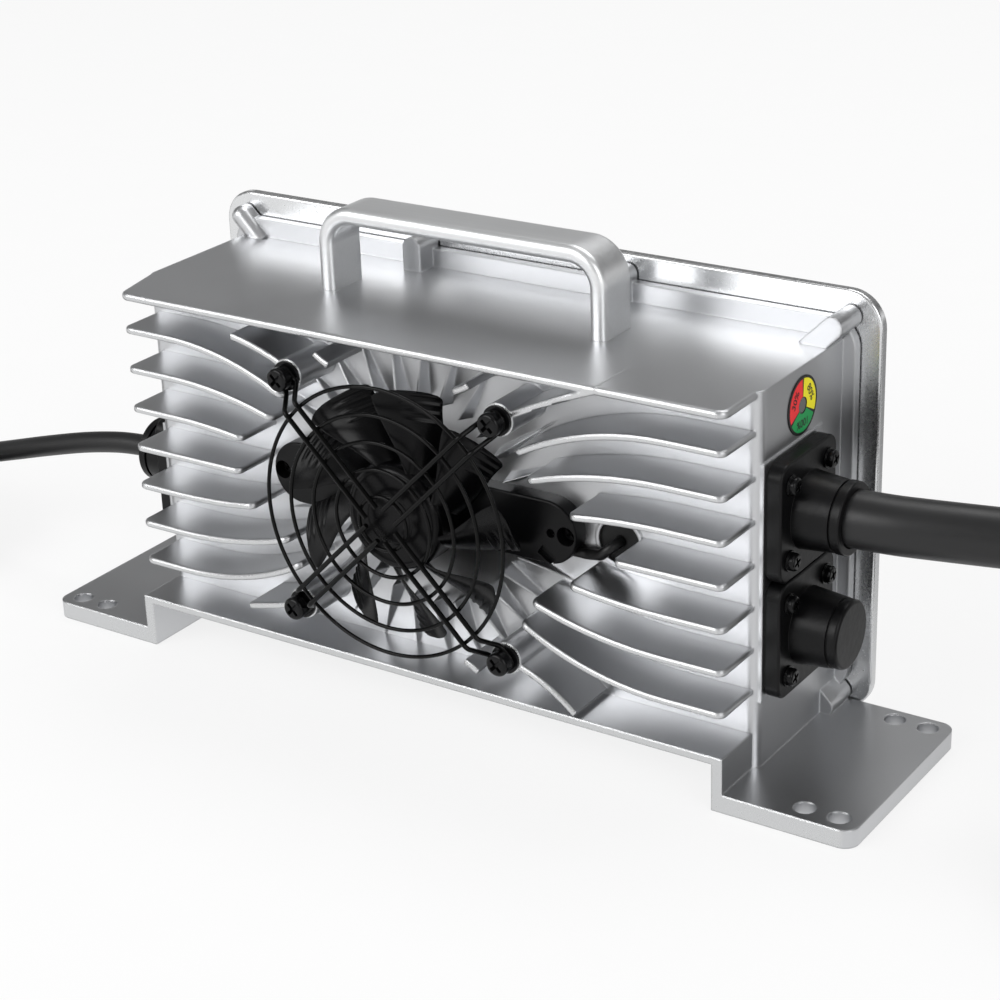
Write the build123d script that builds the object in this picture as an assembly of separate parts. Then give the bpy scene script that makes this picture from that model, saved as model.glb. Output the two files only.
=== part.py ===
"""Fan-cooled lithium battery charger in a finned cast case, in millimetres.

The case frame used by every function has X to the right, Y to the back from the
plane of the fin fronts, and Z up from the underside of the feet. The written
parts are shifted in Y, so that the origin is the middle of the base.
"""

from build123d import *
import math
import os

# Case shell
case_half_width = 119.5
case_wall = 3.0
case_front_corner = 4.0
front_wall_y = 19.2
top_plate_z = 133.3
top_plate_thickness = 2.8
top_plate_left = 115.0
top_plate_right = 118.0
plate_corner = 4.0
plate_edge_round = 1.2
bottom_plate_z = 18.9
bottom_plate_thickness = 2.6
riser_half_width = 117.5
riser_thickness = 3.7
parting_y = 77.0

# Feet
foot_half_length = 162.0
foot_thickness = 6.3
foot_corner = 5.0
foot_hole_radius = 3.55
foot_hole_inset = 7.5
foot_hole_pitch = 11.6
foot_hole_front_y = 6.5
foot_hole_rear_y = 71.0

# Cooling fins
fin_count = 7
fin_pitch = 14.4
fin_thickness = 2.4
fin_middle_z = 76.65
fin_left_end = 115.0
fin_right_end = 117.7
fin_corner = 3.0
fin_bend_start = 97.0
fin_edge_round = 0.9
fin_bend_radii = (220.0, 150.0, 106.0)
fin_left_clearances = (55.0, 55.0, 65.0, 65.5, 61.5, 50.5, 50.0)
fin_right_clearances = (55.0, 54.6, 66.7, 81.2, 65.7, 54.3, 54.0)

# Fan place and radial ribs on the front wall
fan_x = -2.5
fan_z = 75.0
rib_count = 27
rib_width = 4.4
rib_height = 6.4
rib_root = 1.5
rib_inner_radius = 36.0
rib_outer_radius = 62.0
rib_first_angle = 89.0

# Guard bosses
guard_screw_offset = 41.25
guard_boss_radius = 5.5
guard_boss_front_y = 0.0
guard_screw_depth = 12.0

# Rear flange, gasket and cover
flange_half_width = 124.0
flange_bottom_z = 9.0
flange_top_z = 139.8
flange_corner = 10.0
flange_thickness = 3.5
gasket_thickness = 0.6
gasket_inset = 2.0
gasket_width = 5.0
rim_half_width = 131.0
rim_bottom_z = 1.5
rim_top_z = 148.0
rim_corner = 12.0
rim_thickness = 4.0
rim_edge_round = 1.0
pan_half_width = 120.5
pan_bottom_z = 11.5
pan_top_z = 137.3
pan_corner = 8.0
pan_depth = 14.2
pan_wall = 2.0
pan_edge_round = 3.5

# Cover screw bosses
corner_lug_x = 120.5
corner_lug_rise = 6.7
corner_lug_radius = 3.6
corner_lug_front_y = 63.0
left_lug_front_y = 70.0
left_lug_front_round = 3.4
mid_boss_x = 39.8
mid_boss_rise = 8.3
mid_boss_radius = 3.6
mid_boss_front_y = 66.0
cover_screw_radius = 1.75
cover_screw_length = 10.0
cover_screw_head_radius = 3.4
cover_screw_head_height = 2.2

# Handle
handle_half_width = 56.2
handle_bar = 6.0
handle_depth = 18.0
handle_front_y = 34.9
handle_rise = 29.7
handle_corner = 13.5
handle_edge_round = 2.7
handle_screw_radius = 1.5
handle_screw_pitch = 9.0
handle_screw_length = 14.0
handle_screw_head_radius = 2.8
handle_screw_head_height = 2.0

# Wire guard and its screws
guard_ring_count = 5
guard_outer_radius = 46.5
guard_ring_wire_radius = 0.66
guard_ring_y = -7.51
guard_leg_wire_radius = 0.84
guard_leg_gap = 6.2
guard_leg_start = 5.0
guard_leg_bend = 48.4
guard_leg_foot = 54.2
guard_leg_round = 3.0
guard_weld = 0.3
guard_screw_radius = 2.0
guard_head_radius = 4.0
guard_head_height = 2.6
flat_washer_radius = 5.0
flat_washer_thickness = 1.0
spring_washer_radius = 3.9
spring_washer_thickness = 1.2

# Fan
hub_radius = 18.5
hub_face_y = -3.5
hub_rear_y = 10.0
hub_wall = 1.5
hub_round = 3.8
hub_boss_radius = 3.5
hub_boss_depth = 3.0
blade_count = 9
blade_tip_radius = 43.5
blade_front_y = -2.0
blade_rear_y = 9.4
blade_thickness = 1.4
blade_first_angle = 98.5
blade_sweep = 28.0
blade_lean = 28.0
blade_stations = 5
blade_tip_round = 5.0
magnet_thickness = 1.6
magnet_front_y = 1.0
magnet_rear_y = 9.5
shaft_radius = 1.5
shaft_rear_y = 12.2
bearing_radius = 3.5
bearing_width = 2.5
bearing_front_y = 3.8
bearing_rear_y = 9.5
bearing_tube_wall = 1.2
bearing_tube_front_y = 3.5
stator_radius = 14.3
stator_front_y = 4.2
stator_rear_y = 9.2
stator_poles = 4
fan_board_thickness = 1.0
fan_board_front_y = 10.2
fan_base_radius = 16.0

# Fan bracket
bracket_front_y = 12.8
bracket_half_length = 60.5
bracket_half_height = 11.0
bracket_hole_offset = 56.7
bracket_counterbore_radius = 3.25
bracket_counterbore_depth = 5.0
bracket_screw_radius = 1.75
bracket_head_radius = 3.0
bracket_head_height = 1.8
bracket_screw_length = 4.0
bracket_small_hole_inset = 5.6
bracket_small_hole_radius = 1.55
bracket_slot_length = 6.4
bracket_slot_width = 3.4
bracket_slot_depth = 1.6
bracket_slot_inset = 7.2
bracket_slot_drop = 8.0
bracket_slot_angle = -35.0

# Fan lead and its wall hole
lead_radius = 1.75
lead_channel_width = 4.4
lead_channel_depth = 3.8
lead_drop = 6.5
lead_hole_x = 70.5
lead_hole_z = 74.5
lead_hole_radius = 7.5
lead_rim_width = 1.3
lead_rim_height = 0.6
grommet_setback = 0.6
grommet_thickness = 2.0

# Sockets in the end walls
socket_y = 40.3
output_socket_z = 89.5
spare_socket_z = 50.0
mains_socket_z = 57.0
socket_pad = 0.5
socket_gasket_thickness = 0.8
socket_plate_half_depth = 18.5
socket_plate_half_height = 19.6
socket_plate_corner = 5.0
socket_plate_thickness = 4.7
socket_base_radius = 12.6
socket_tip_radius = 11.5
socket_barrel_length = 11.7
socket_neck_radius = 10.8
socket_neck_length = 0.8
socket_bulkhead = 3.2
socket_wire_hole = 6.0
mains_wire_hole = 3.0
socket_screw_spacing = 25.0
socket_screw_radius = 1.5
socket_screw_length = 9.0
socket_screw_head_radius = 2.9
socket_screw_head_height = 2.2
socket_washer_radius = 3.4
socket_washer_thickness = 0.6
gland_ring_radius = 11.7
gland_ring_length = 3.0
gland_ring_round = 0.6
port_cap_radius = 11.3
port_cap_length = 3.0
port_cap_round = 1.2
port_cap_stem_length = 6.0
output_cable_radius = 9.15
mains_cable_radius = 4.0

# Charge indicator
indicator_y = 46.2
indicator_z = 120.5
indicator_radius = 9.5
indicator_thickness = 0.3
light_pipe_radius = 2.4
light_pipe_length = 7.5
indicator_board_size = 15.0
indicator_board_thickness = 1.6
indicator_peg_radius = 1.5
indicator_peg_offset = 5.5

# Circuit board and what is on it
board_half_width = 106.0
board_bottom_z = 26.0
board_top_z = 123.0
board_thickness = 1.6
board_standoff = 11.8
board_post_radius = 4.0
board_post_inset = 8.0
board_screw_radius = 1.5
board_screw_length = 8.0
board_screw_head_radius = 2.8
board_screw_head_height = 2.0
transistor_count = 6
transistor_pitch = 24.0
transistor_width = 16.0
transistor_height = 21.0
transistor_thickness = 5.0
transistor_bottom_z = 34.0
transistor_lead_pitch = 5.4
transistor_lead_width = 1.2
transistor_lead_thickness = 0.7
transistor_lead_run = 3.0
thermal_pad_thickness = 0.3
thermal_pad_border = 0.5
clamp_height = 10.0
clamp_thickness = 2.0
clamp_overhang = 5.0
clamp_boss_radius = 3.4
clamp_screw_x = 73.0
capacitor_radius = 12.5
capacitor_length = 40.0
capacitor_x = -84.0
capacitor_z = 58.0
capacitor_pitch = 27.0
transformer_x = 22.0
transformer_z = 86.0
transformer_width = 46.0
transformer_depth = 36.0
transformer_height = 20.0
transformer_leg = 12.0
transformer_yoke = 7.0
winding_clearance = 0.3
winding_overhang = 7.0
choke_outer_radius = 17.0
choke_inner_radius = 8.0
choke_height = 15.0
choke_round = 3.0
input_choke_x = -24.0
input_choke_z = 96.0
output_choke_x = 74.0
output_choke_z = 90.0
relay_x = 64.0
relay_z = 46.0
relay_width = 28.0
relay_depth = 24.0
relay_height = 20.0
fuse_x = -36.0
fuse_z = 46.0
fuse_radius = 3.2
fuse_length = 24.0
fuse_clip_height = 4.5
control_board_x = 14.0
control_board_z = 56.0
control_board_width = 50.0
control_board_rise = 26.0
insulation_thickness = 0.5
insulation_inset = 6.0

# Free cords: cable bends and what is put away
cable_tie_thickness = 1.2
cable_tie_width = 6.0
hank_left_x = 270.0
hank_straight = 147.0
hank_y = 35.0
hank_turn_radius = 54.85
hank_layers = 2
hank_plug_x = 330.0
output_plug_length = 50.0
output_plug_width = 30.0
output_plug_height = 17.0
output_contact_radius = 3.5
output_contact_length = 12.0
coil_x = -271.0
coil_y = 4.0
coil_turn_radius = 42.0
coil_columns = 2
coil_layers = 3
mains_plug_length = 44.0
mains_plug_width = 30.0
mains_plug_height = 24.0
mains_plug_round = 6.0
mains_pin_length = 18.0
mains_pin_radius = 2.4
mains_pin_pitch = 19.0

# Small clearances
thread_clearance = 0.05
hole_clearance = 0.2
slip_clearance = 0.15
running_clearance = 0.05
seat_gap = 0.1

# Places worked out from the sizes above
cavity_half_width = case_half_width - case_wall
cavity_front_y = front_wall_y + case_wall
cavity_top_z = top_plate_z - top_plate_thickness
under_plate_z = bottom_plate_z - bottom_plate_thickness
channel_half_width = riser_half_width - riser_thickness
rim_front_y = parting_y + gasket_thickness
rim_rear_y = rim_front_y + rim_thickness
cover_rear_y = rim_rear_y + pan_depth
lug_top_z = top_plate_z + corner_lug_rise
lug_bottom_z = flange_top_z + flange_bottom_z - lug_top_z
mid_top_z = top_plate_z + mid_boss_rise
mid_bottom_z = flange_top_z + flange_bottom_z - mid_top_z
board_front_y = cavity_front_y + board_standoff
board_rear_y = board_front_y + board_thickness
socket_seat_x = case_half_width + socket_pad
socket_plate_x = socket_seat_x + socket_gasket_thickness
socket_face_x = socket_plate_x + socket_plate_thickness
socket_tip_x = socket_face_x + socket_barrel_length
socket_neck_x = socket_tip_x + socket_neck_length
cable_seat_x = socket_plate_x + socket_bulkhead
guard_washer_y = guard_boss_front_y - flat_washer_thickness
guard_wire_y = guard_washer_y - guard_leg_wire_radius
guard_leg_y = guard_ring_y - guard_ring_wire_radius - guard_leg_wire_radius + guard_weld
guard_spring_y = guard_wire_y - guard_leg_wire_radius - spring_washer_thickness
guard_front_y = guard_leg_y - guard_leg_wire_radius
origin_shift = -(guard_front_y + cover_rear_y) / 2

output_cable_route = [
    (cable_seat_x, socket_y, output_socket_z),
    (146.5, socket_y, output_socket_z),
    (168.0, 45.6, 89.2),
    (204.0, 57.0, 88.0),
    (256.0, 70.5, 79.5),
    (318.0, 82.5, 63.0),
    (375.0, 89.0, 50.5),
    (417.0, 89.85, 46.5),
]
mains_cable_route = [
    (-cable_seat_x, socket_y, mains_socket_z),
    (-150.0, socket_y, mains_socket_z),
    (-173.0, 39.8, 53.4),
    (-197.0, 39.8, 47.0),
    (-221.0, 41.5, 39.5),
    (-246.0, 42.3, 32.2),
    (-271.0, 42.0, 29.0),
]


def block(x0, x1, y0, y1, z0, z1):
    """A box from its low and high sides."""
    size = (abs(x1 - x0), abs(y1 - y0), abs(z1 - z0))
    return Pos((x0 + x1) / 2, (y0 + y1) / 2, (z0 + z1) / 2) * Box(*size)


def rod_y(radius, y0, y1, x, z):
    """A cylinder along Y."""
    return Pos(x, (y0 + y1) / 2, z) * Rot(90, 0, 0) * Cylinder(radius, abs(y1 - y0))


def rod_x(radius, x0, x1, y, z):
    """A cylinder along X."""
    return Pos((x0 + x1) / 2, y, z) * Rot(0, 90, 0) * Cylinder(radius, abs(x1 - x0))


def rod_z(radius, z0, z1, x, y):
    """A cylinder along Z."""
    return Pos(x, y, (z0 + z1) / 2) * Cylinder(radius, abs(z1 - z0))


def upright(face, y0, y1):
    """A face drawn with X across and its own Y as height, extruded from y0 to y1."""
    placed = Plane(origin=(0, y0, 0), x_dir=(1, 0, 0), z_dir=(0, -1, 0)) * face
    return extrude(placed, amount=-(y1 - y0))


def rounded_panel(half_width, z0, z1, corner, y0, y1):
    """A rounded rectangle that stands across the case."""
    face = Pos(0, (z0 + z1) / 2) * RectangleRounded(2 * half_width, z1 - z0, corner)
    return upright(face, y0, y1)


def direction(angle):
    """The unit direction in the fan's plane at an angle from +X towards +Z."""
    turn = math.radians(angle)
    return math.cos(turn), math.sin(turn)


def fan_turned(shape, angle):
    """A shape made round the Y axis, turned by an angle and set on the fan's axis."""
    return Pos(fan_x, 0, fan_z) * Rot(0, -angle, 0) * shape


def guard_screw_places():
    """The four screw places round the fan, as X and Z."""
    reach = guard_screw_offset
    return [(fan_x + sx * reach, fan_z + sz * reach) for sx in (-1, 1) for sz in (-1, 1)]


def cover_screw_places():
    """The eight cover screws, as X and Z."""
    corners = [(s * corner_lug_x, z) for s in (-1, 1) for z in (lug_bottom_z, lug_top_z)]
    middles = [(s * mid_boss_x, z) for s in (-1, 1) for z in (mid_bottom_z, mid_top_z)]
    return corners + middles


def board_post_places():
    """The four posts that carry the circuit board, as X and Z."""
    low = board_bottom_z + board_post_inset
    high = board_top_z - board_post_inset
    x = board_half_width - board_post_inset
    return [(s * x, z) for s in (-1, 1) for z in (low, high)]


def socket_places():
    """Each socket's side and height."""
    return [(1, output_socket_z), (1, spare_socket_z), (-1, mains_socket_z)]


def screw_corners(y, z):
    """The four screw places round a socket, as Y and Z."""
    reach = socket_screw_spacing / 2
    return [(y + sy * reach, z + sz * reach) for sy in (-1, 1) for sz in (-1, 1)]


def transistor_centres():
    """The transistors' X positions along their row."""
    first = -(transistor_count - 1) / 2 * transistor_pitch
    return [first + k * transistor_pitch for k in range(transistor_count)]


def clamp_screw_centres():
    """The clamp bar's screws, at both ends and in the middle."""
    return [-clamp_screw_x, 0.0, clamp_screw_x]


# Housing casting


def case_shell():
    """End walls, front wall, top and bottom plates in one box, open at the back."""
    outer = block(-case_half_width, case_half_width, front_wall_y, parting_y, 0, top_plate_z)
    front = outer.edges().filter_by(Axis.Z).group_by(Axis.Y)[0]
    outer = fillet(front, case_front_corner)
    half = cavity_half_width
    inside = block(-half, half, cavity_front_y, parting_y + 1, bottom_plate_z, cavity_top_z)
    half = channel_half_width
    channel = block(-half, half, 0, parting_y + 1, -1, under_plate_z)
    return outer - inside - channel


def front_plates():
    """The top and bottom plates and risers that stand out in front of the wall."""
    root = front_wall_y + case_front_corner
    rear_y = root + case_front_corner
    side_left = (-case_half_width, front_wall_y + 1.0)
    rear_left = (-case_half_width, rear_y)
    front_corners = [(-top_plate_left, 0), (top_plate_right, 0)]
    outline = Polyline(*front_corners, (top_plate_right, rear_y), rear_left, side_left, close=True)
    top = extrude(Pos(0, 0, cavity_top_z) * make_face(outline), amount=top_plate_thickness)
    top = fillet(top.edges().filter_by(Axis.Z).group_by(Axis.Y)[0], plate_corner)
    front_edges = top.edges().filter_by(Plane.XY).filter_by(lambda e: e.center().Y < plate_corner)
    top = fillet(front_edges, plate_edge_round)
    half = riser_half_width
    low = block(-half, half, 0, root, under_plate_z, bottom_plate_z)
    risers = [
        block(s * channel_half_width, s * half, 0, root, 0, bottom_plate_z) for s in (-1, 1)
    ]
    return [top, low, *risers]


def feet():
    """The two flat feet, each with two pairs of holes."""
    made = []
    middle = (channel_half_width + foot_half_length) / 2
    length = foot_half_length - channel_half_width
    holes = foot_hole_places()
    for side in (-1, 1):
        foot = Pos(side * middle, parting_y / 2, foot_thickness / 2)
        foot = foot * Box(length, parting_y, foot_thickness)
        outer = foot.edges().filter_by(Axis.Z).sort_by(Axis.X)
        outer = outer[-2:] if side > 0 else outer[:2]
        foot = fillet(outer, foot_corner)
        for x, y in holes:
            if x * side > 0:
                foot -= rod_z(foot_hole_radius, -1, foot_thickness + 1, x, y)
        made.append(foot)
    return made


def foot_hole_places():
    """All eight mounting holes, as X and Y."""
    outer = foot_half_length - foot_hole_inset
    across = (outer, outer - foot_hole_pitch)
    return [
        (side * x, y)
        for side in (-1, 1)
        for x in across
        for y in (foot_hole_front_y, foot_hole_rear_y)
    ]


def fin(index, side, clearance):
    """One fin: straight from its outer end, then an arc towards the fan.

    The arc belongs to a circle that touches the straight part where the bend
    starts, and the fin stops at its own distance from the fan's axis.
    """
    step = index - fin_count // 2
    z = fin_middle_z - step * fin_pitch
    outer = fin_right_end if side > 0 else fin_left_end
    half = fin_thickness / 2
    sketch = Pos(side * (fin_bend_start + outer) / 2, z)
    sketch = sketch * Rectangle(outer - fin_bend_start, fin_thickness)
    if step == 0:
        sketch += Pos(side * fin_bend_start / 2, z) * Rectangle(fin_bend_start, fin_thickness)
    else:
        radius = fin_bend_radii[abs(step) - 1]
        down = 1 if step < 0 else -1
        centre_z = z - down * radius
        band = Circle(radius + half) - Circle(radius - half)
        reach = abs(z - fan_z) + half
        window = Pos(side * fin_bend_start / 2, z + down * (half - reach / 2))
        window = window * Rectangle(fin_bend_start, reach)
        sketch += (Pos(side * fin_bend_start, centre_z) * band) & window
    sketch -= Pos(fan_x, fan_z) * Circle(clearance)
    body = upright(sketch, 0, front_wall_y + case_front_corner / 2)
    front = body.edges().filter_by(lambda e: e.center().Y < 0.01)
    ends = front.filter_by(lambda e: e.length < 2 * fin_thickness).sort_by(Axis.X)
    body = fillet([ends[0], ends[-1]], fin_corner)
    front = body.edges().filter_by(lambda e: e.center().Y < 0.01 and e.length > 2 * fin_thickness)
    return fillet(front, fin_edge_round)


def fins():
    """All fins of both sides."""
    made = []
    for index in range(fin_count):
        made.append(fin(index, -1, fin_left_clearances[index]))
        made.append(fin(index, 1, fin_right_clearances[index]))
    return made


def leaf(points, y_front=0.0):
    """A thin curved rib through three points given as X and Z from the fan's axis."""
    placed = [(fan_x + x, fan_z + z) for x, z in points]
    strip = trace(ThreePointArc(*placed), fin_thickness)
    body = upright(strip, y_front, front_wall_y + 1)
    front = body.edges().group_by(Axis.Y)[0].filter_by(lambda e: e.length > fin_thickness * 1.1)
    return fillet(front, fin_edge_round)


def leaves():
    """The short curved ribs that join the guard bosses to the plates, and loose stubs."""
    reach = guard_screw_offset
    to_top = top_plate_z - fan_z - 1
    to_bottom = bottom_plate_z - fan_z + 1
    return [
        leaf([(reach + 2, reach + 1), (58.0, 49.5), (77.0, to_top)]),
        leaf([(-reach - 1, reach + 2), (-54.0, 48.0), (-64.5, 50.5)]),
        leaf([(reach + 1, -reach - 1), (55.0, -47.2), (66.5, to_bottom)]),
        leaf([(-reach - 1, -reach - 1), (-54.0, -45.6), (-65.5, -48.4)]),
        leaf([(-30.1, 50.2), (-27.5, 48.6), (-24.7, 47.3)]),
        leaf([(30.1, 50.2), (27.5, 48.6), (24.7, 47.3)]),
        leaf([(24.6, -46.8), (27.0, -48.0), (29.5, -49.5)]),
    ]


def rib_section(radius, share):
    """A rib's triangle across its run, at a distance from the fan's axis and a share of full size."""
    half = rib_width / 2 * share
    foot = rib_root * share
    corners = Polyline((-half, foot), (half, foot), (0, -rib_height * share), close=True)
    place = Plane(origin=(radius, front_wall_y, 0), x_dir=(0, 0, 1), z_dir=(-1, 0, 0))
    return place * make_face(corners)


def radial_ribs():
    """Pointed ribs round the fan, highest at their inner ends."""
    made = []
    wedge = loft([rib_section(rib_inner_radius, 1.0), rib_section(rib_outer_radius, 0.02)], ruled=True)
    for k in range(rib_count):
        made.append(fan_turned(wedge, rib_first_angle + 360 / rib_count * k))
    keep = block(-riser_half_width, riser_half_width, 0, front_wall_y + 2, bottom_plate_z, cavity_top_z)
    ribs = Part() + made
    ribs = ribs & keep
    half_length = bracket_half_length + 1
    half_height = bracket_half_height + 1
    seat = block(
        fan_x - half_length, fan_x + half_length, 0, front_wall_y + 2,
        fan_z - half_height, fan_z + half_height,
    )
    return ribs - seat


def guard_bosses():
    """Four round bosses for the guard's screws."""
    return [
        rod_y(guard_boss_radius, guard_boss_front_y, front_wall_y + 1, x, z)
        for x, z in guard_screw_places()
    ]


def rear_flange():
    """The flange round the open back, with its corner lugs and middle bosses."""
    front = parting_y - flange_thickness
    plate = rounded_panel(
        flange_half_width, flange_bottom_z, flange_top_z, flange_corner, front, parting_y
    )
    half = cavity_half_width
    plate -= block(-half, half, front - 1, parting_y + 1, bottom_plate_z, cavity_top_z)
    made = [plate]
    for x in (-mid_boss_x, mid_boss_x):
        for z, root in ((mid_top_z, cavity_top_z), (mid_bottom_z, bottom_plate_z)):
            made.append(rod_y(mid_boss_radius, mid_boss_front_y, parting_y, x, z))
            reach = mid_boss_radius
            made.append(block(x - reach, x + reach, mid_boss_front_y, parting_y, z, root))
    for side in (-1, 1):
        for z, down in ((lug_top_z, 1), (lug_bottom_z, -1)):
            x = side * corner_lug_x
            lug_front_y = corner_lug_front_y if side > 0 else left_lug_front_y
            boss = rod_y(corner_lug_radius, lug_front_y, parting_y, x, z)
            length = 12.0
            arm = Box(2 * corner_lug_radius, parting_y - lug_front_y, length)
            if side < 0:
                boss = fillet(boss.edges().group_by(Axis.Y)[0], left_lug_front_round)
                arm = fillet(arm.edges().filter_by(Axis.Z).group_by(Axis.Y)[0], left_lug_front_round)
            made.append(boss)
            middle_y = (parting_y + lug_front_y) / 2
            slant = Pos(x, middle_y, z) * Rot(0, side * down * 45, 0)
            made.append(slant * Pos(0, 0, -down * length / 2) * arm)
    return made


def inner_posts():
    """Posts and pegs cast inside, for the boards and the transistor clamp."""
    made = []
    start = cavity_front_y - 1
    for x, z in board_post_places():
        made.append(rod_y(board_post_radius, start, board_front_y, x, z))
    clamp_z = transistor_bottom_z + transistor_height / 2
    clamp_y = cavity_front_y + thermal_pad_thickness + transistor_thickness - seat_gap
    for x in clamp_screw_centres():
        made.append(rod_y(clamp_boss_radius, start, clamp_y, x, clamp_z))
    inner = case_half_width - light_pipe_length
    for sy, sz in ((-1, -1), (1, 1)):
        y = indicator_y + sy * indicator_peg_offset
        z = indicator_z + sz * indicator_peg_offset
        made.append(rod_x(indicator_peg_radius, inner, cavity_half_width + 1, y, z))
    return made


def housing_cuts():
    """Every hole in the casting."""
    cuts = []
    thread = guard_screw_radius + thread_clearance
    for x, z in guard_screw_places():
        cuts.append(rod_y(thread, -1, guard_boss_front_y + guard_screw_depth, x, z))
    thread = bracket_screw_radius + thread_clearance
    for s in (-1, 1):
        x = fan_x + s * bracket_hole_offset
        cuts.append(rod_y(thread, front_wall_y - 1, cavity_front_y + 1, x, fan_z))
    cuts.append(rod_y(lead_hole_radius, 0, cavity_front_y + 1, lead_hole_x, lead_hole_z))
    thread = cover_screw_radius + thread_clearance
    for x, z in cover_screw_places():
        tip_y = rim_rear_y - cover_screw_length - hole_clearance
        cuts.append(rod_y(thread, tip_y, parting_y + 1, x, z))
    thread = board_screw_radius + thread_clearance
    for x, z in board_post_places():
        cuts.append(rod_y(thread, cavity_front_y + 1, board_front_y + 1, x, z))
    clamp_z = transistor_bottom_z + transistor_height / 2
    for x in clamp_screw_centres():
        cuts.append(rod_y(thread, front_wall_y + 1, board_front_y, x, clamp_z))
    hole = handle_screw_radius + hole_clearance
    for x, y in handle_screw_places():
        cuts.append(rod_z(hole, cavity_top_z - 1, top_plate_z + 1, x, y))
    inner = cavity_half_width - 1
    outer = socket_seat_x + 1
    for side, z in socket_places():
        wires = socket_wire_hole if side > 0 else mains_wire_hole
        cuts.append(rod_x(wires, side * inner, side * outer, socket_y, z))
        for y, zs in screw_corners(socket_y, z):
            thread = socket_screw_radius + thread_clearance
            cuts.append(rod_x(thread, side * inner, side * outer, y, zs))
    pipe = light_pipe_radius + slip_clearance
    cuts.append(rod_x(pipe, inner, outer, indicator_y, indicator_z))
    return cuts


def socket_pads():
    """Flat pads on the end walls, machined for the sockets."""
    edge = 1.0
    made = []
    y0 = socket_y - socket_plate_half_depth - edge
    y1 = socket_y + socket_plate_half_depth + edge
    half = socket_plate_half_height + edge
    spans = [(1, spare_socket_z - half, output_socket_z + half)]
    spans.append((-1, mains_socket_z - half, mains_socket_z + half))
    for side, z0, z1 in spans:
        made.append(block(side * (case_half_width - 1), side * socket_seat_x, y0, y1, z0, z1))
    return made


def lead_rim():
    """A low cast rim round the fan lead's hole."""
    outer = lead_hole_radius + lead_rim_width
    return rod_y(outer, front_wall_y - lead_rim_height, front_wall_y + 1, lead_hole_x, lead_hole_z)


def heatsink_housing():
    """The whole casting."""
    body = case_shell()
    body += front_plates() + feet() + guard_bosses() + rear_flange()
    body += fins() + leaves()
    body += [radial_ribs(), lead_rim()]
    body += inner_posts() + socket_pads()
    return body - housing_cuts()


# Rear cover and gasket


def rear_cover():
    """A flat rim with a shallow pan behind it."""
    rim = rounded_panel(rim_half_width, rim_bottom_z, rim_top_z, rim_corner, rim_front_y, rim_rear_y)
    outline = rim.edges().group_by(Axis.Y)
    rim = fillet(outline[0] + outline[-1], rim_edge_round)
    pan = rounded_panel(pan_half_width, pan_bottom_z, pan_top_z, pan_corner, rim_rear_y - 1, cover_rear_y)
    pan = fillet(pan.edges().group_by(Axis.Y)[-1], pan_edge_round)
    hollow = rounded_panel(
        pan_half_width - pan_wall, pan_bottom_z + pan_wall, pan_top_z - pan_wall,
        pan_corner - pan_wall, rim_front_y - 1, cover_rear_y - pan_wall,
    )
    cover = rim + pan - hollow
    hole = cover_screw_radius + hole_clearance
    return cover - [rod_y(hole, rim_front_y - 1, rim_rear_y + 1, x, z) for x, z in cover_screw_places()]


def cover_gasket():
    """A flat rubber frame between flange and cover."""
    half = flange_half_width - gasket_inset
    low = flange_bottom_z + gasket_inset
    high = flange_top_z - gasket_inset
    corner = flange_corner - gasket_inset
    frame = rounded_panel(half, low, high, corner, parting_y, rim_front_y)
    inner_corner = corner - gasket_width / 2
    hollow = rounded_panel(
        half - gasket_width, low + gasket_width, high - gasket_width,
        inner_corner, parting_y - 1, rim_front_y + 1,
    )
    return frame - hollow


def pan_screw_y(shank, length, head, height, seat_y, x, z, facing=1):
    """A pan head screw along Y, with its head on the facing side of the seat."""
    stem = rod_y(shank, seat_y - facing * length, seat_y, x, z)
    top = rod_y(head, seat_y, seat_y + facing * height, x, z)
    rim = top.edges().group_by(Axis.Y)[-1 if facing > 0 else 0]
    top = fillet(rim, height * 0.45)
    return stem + top - cross_slot(head, x, seat_y + facing * height, z, facing)


def cross_slot(head, x, y, z, facing):
    """The cross recess of a screw head, as two crossed bars."""
    length = head * 1.3
    width = head * 0.3
    depth = head * 0.7
    bars = [
        Pos(x, y, z) * Rot(0, angle, 0) * Box(length, depth, width) for angle in (45, 135)
    ]
    return bars


def cover_screws():
    """Eight screws from behind."""
    return [
        pan_screw_y(
            cover_screw_radius, cover_screw_length, cover_screw_head_radius,
            cover_screw_head_height, rim_rear_y, x, z,
        )
        for x, z in cover_screw_places()
    ]


# Handle


def handle():
    """A flat bar bent into a bridge, with rounded edges."""
    outer = Pos(0, top_plate_z) * Rectangle(
        2 * handle_half_width, handle_rise, align=(Align.CENTER, Align.MIN)
    )
    outer = fillet(outer.vertices().group_by(Axis.Y)[-1], handle_corner)
    inner = Pos(0, top_plate_z) * Rectangle(
        2 * (handle_half_width - handle_bar), handle_rise - handle_bar,
        align=(Align.CENTER, Align.MIN),
    )
    inner = fillet(inner.vertices().group_by(Axis.Y)[-1], handle_corner - handle_bar)
    bar = upright(outer - inner, handle_front_y, handle_front_y + handle_depth)
    sides = bar.edges().group_by(Axis.Y)
    rounded = (sides[0] + sides[-1]).filter_by(lambda e: e.center().Z > top_plate_z + 0.1)
    bar = fillet(rounded, handle_edge_round)
    hole = handle_screw_radius + thread_clearance
    for x, y in handle_screw_places():
        bar -= rod_z(hole, top_plate_z - 1, top_plate_z + handle_screw_length, x, y)
    return bar


def handle_screw_places():
    """Two screws under each leg, as X and Y."""
    x = handle_half_width - handle_bar / 2
    y = handle_front_y + handle_depth / 2
    return [(s * x, y + t * handle_screw_pitch / 2) for s in (-1, 1) for t in (-1, 1)]


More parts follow.
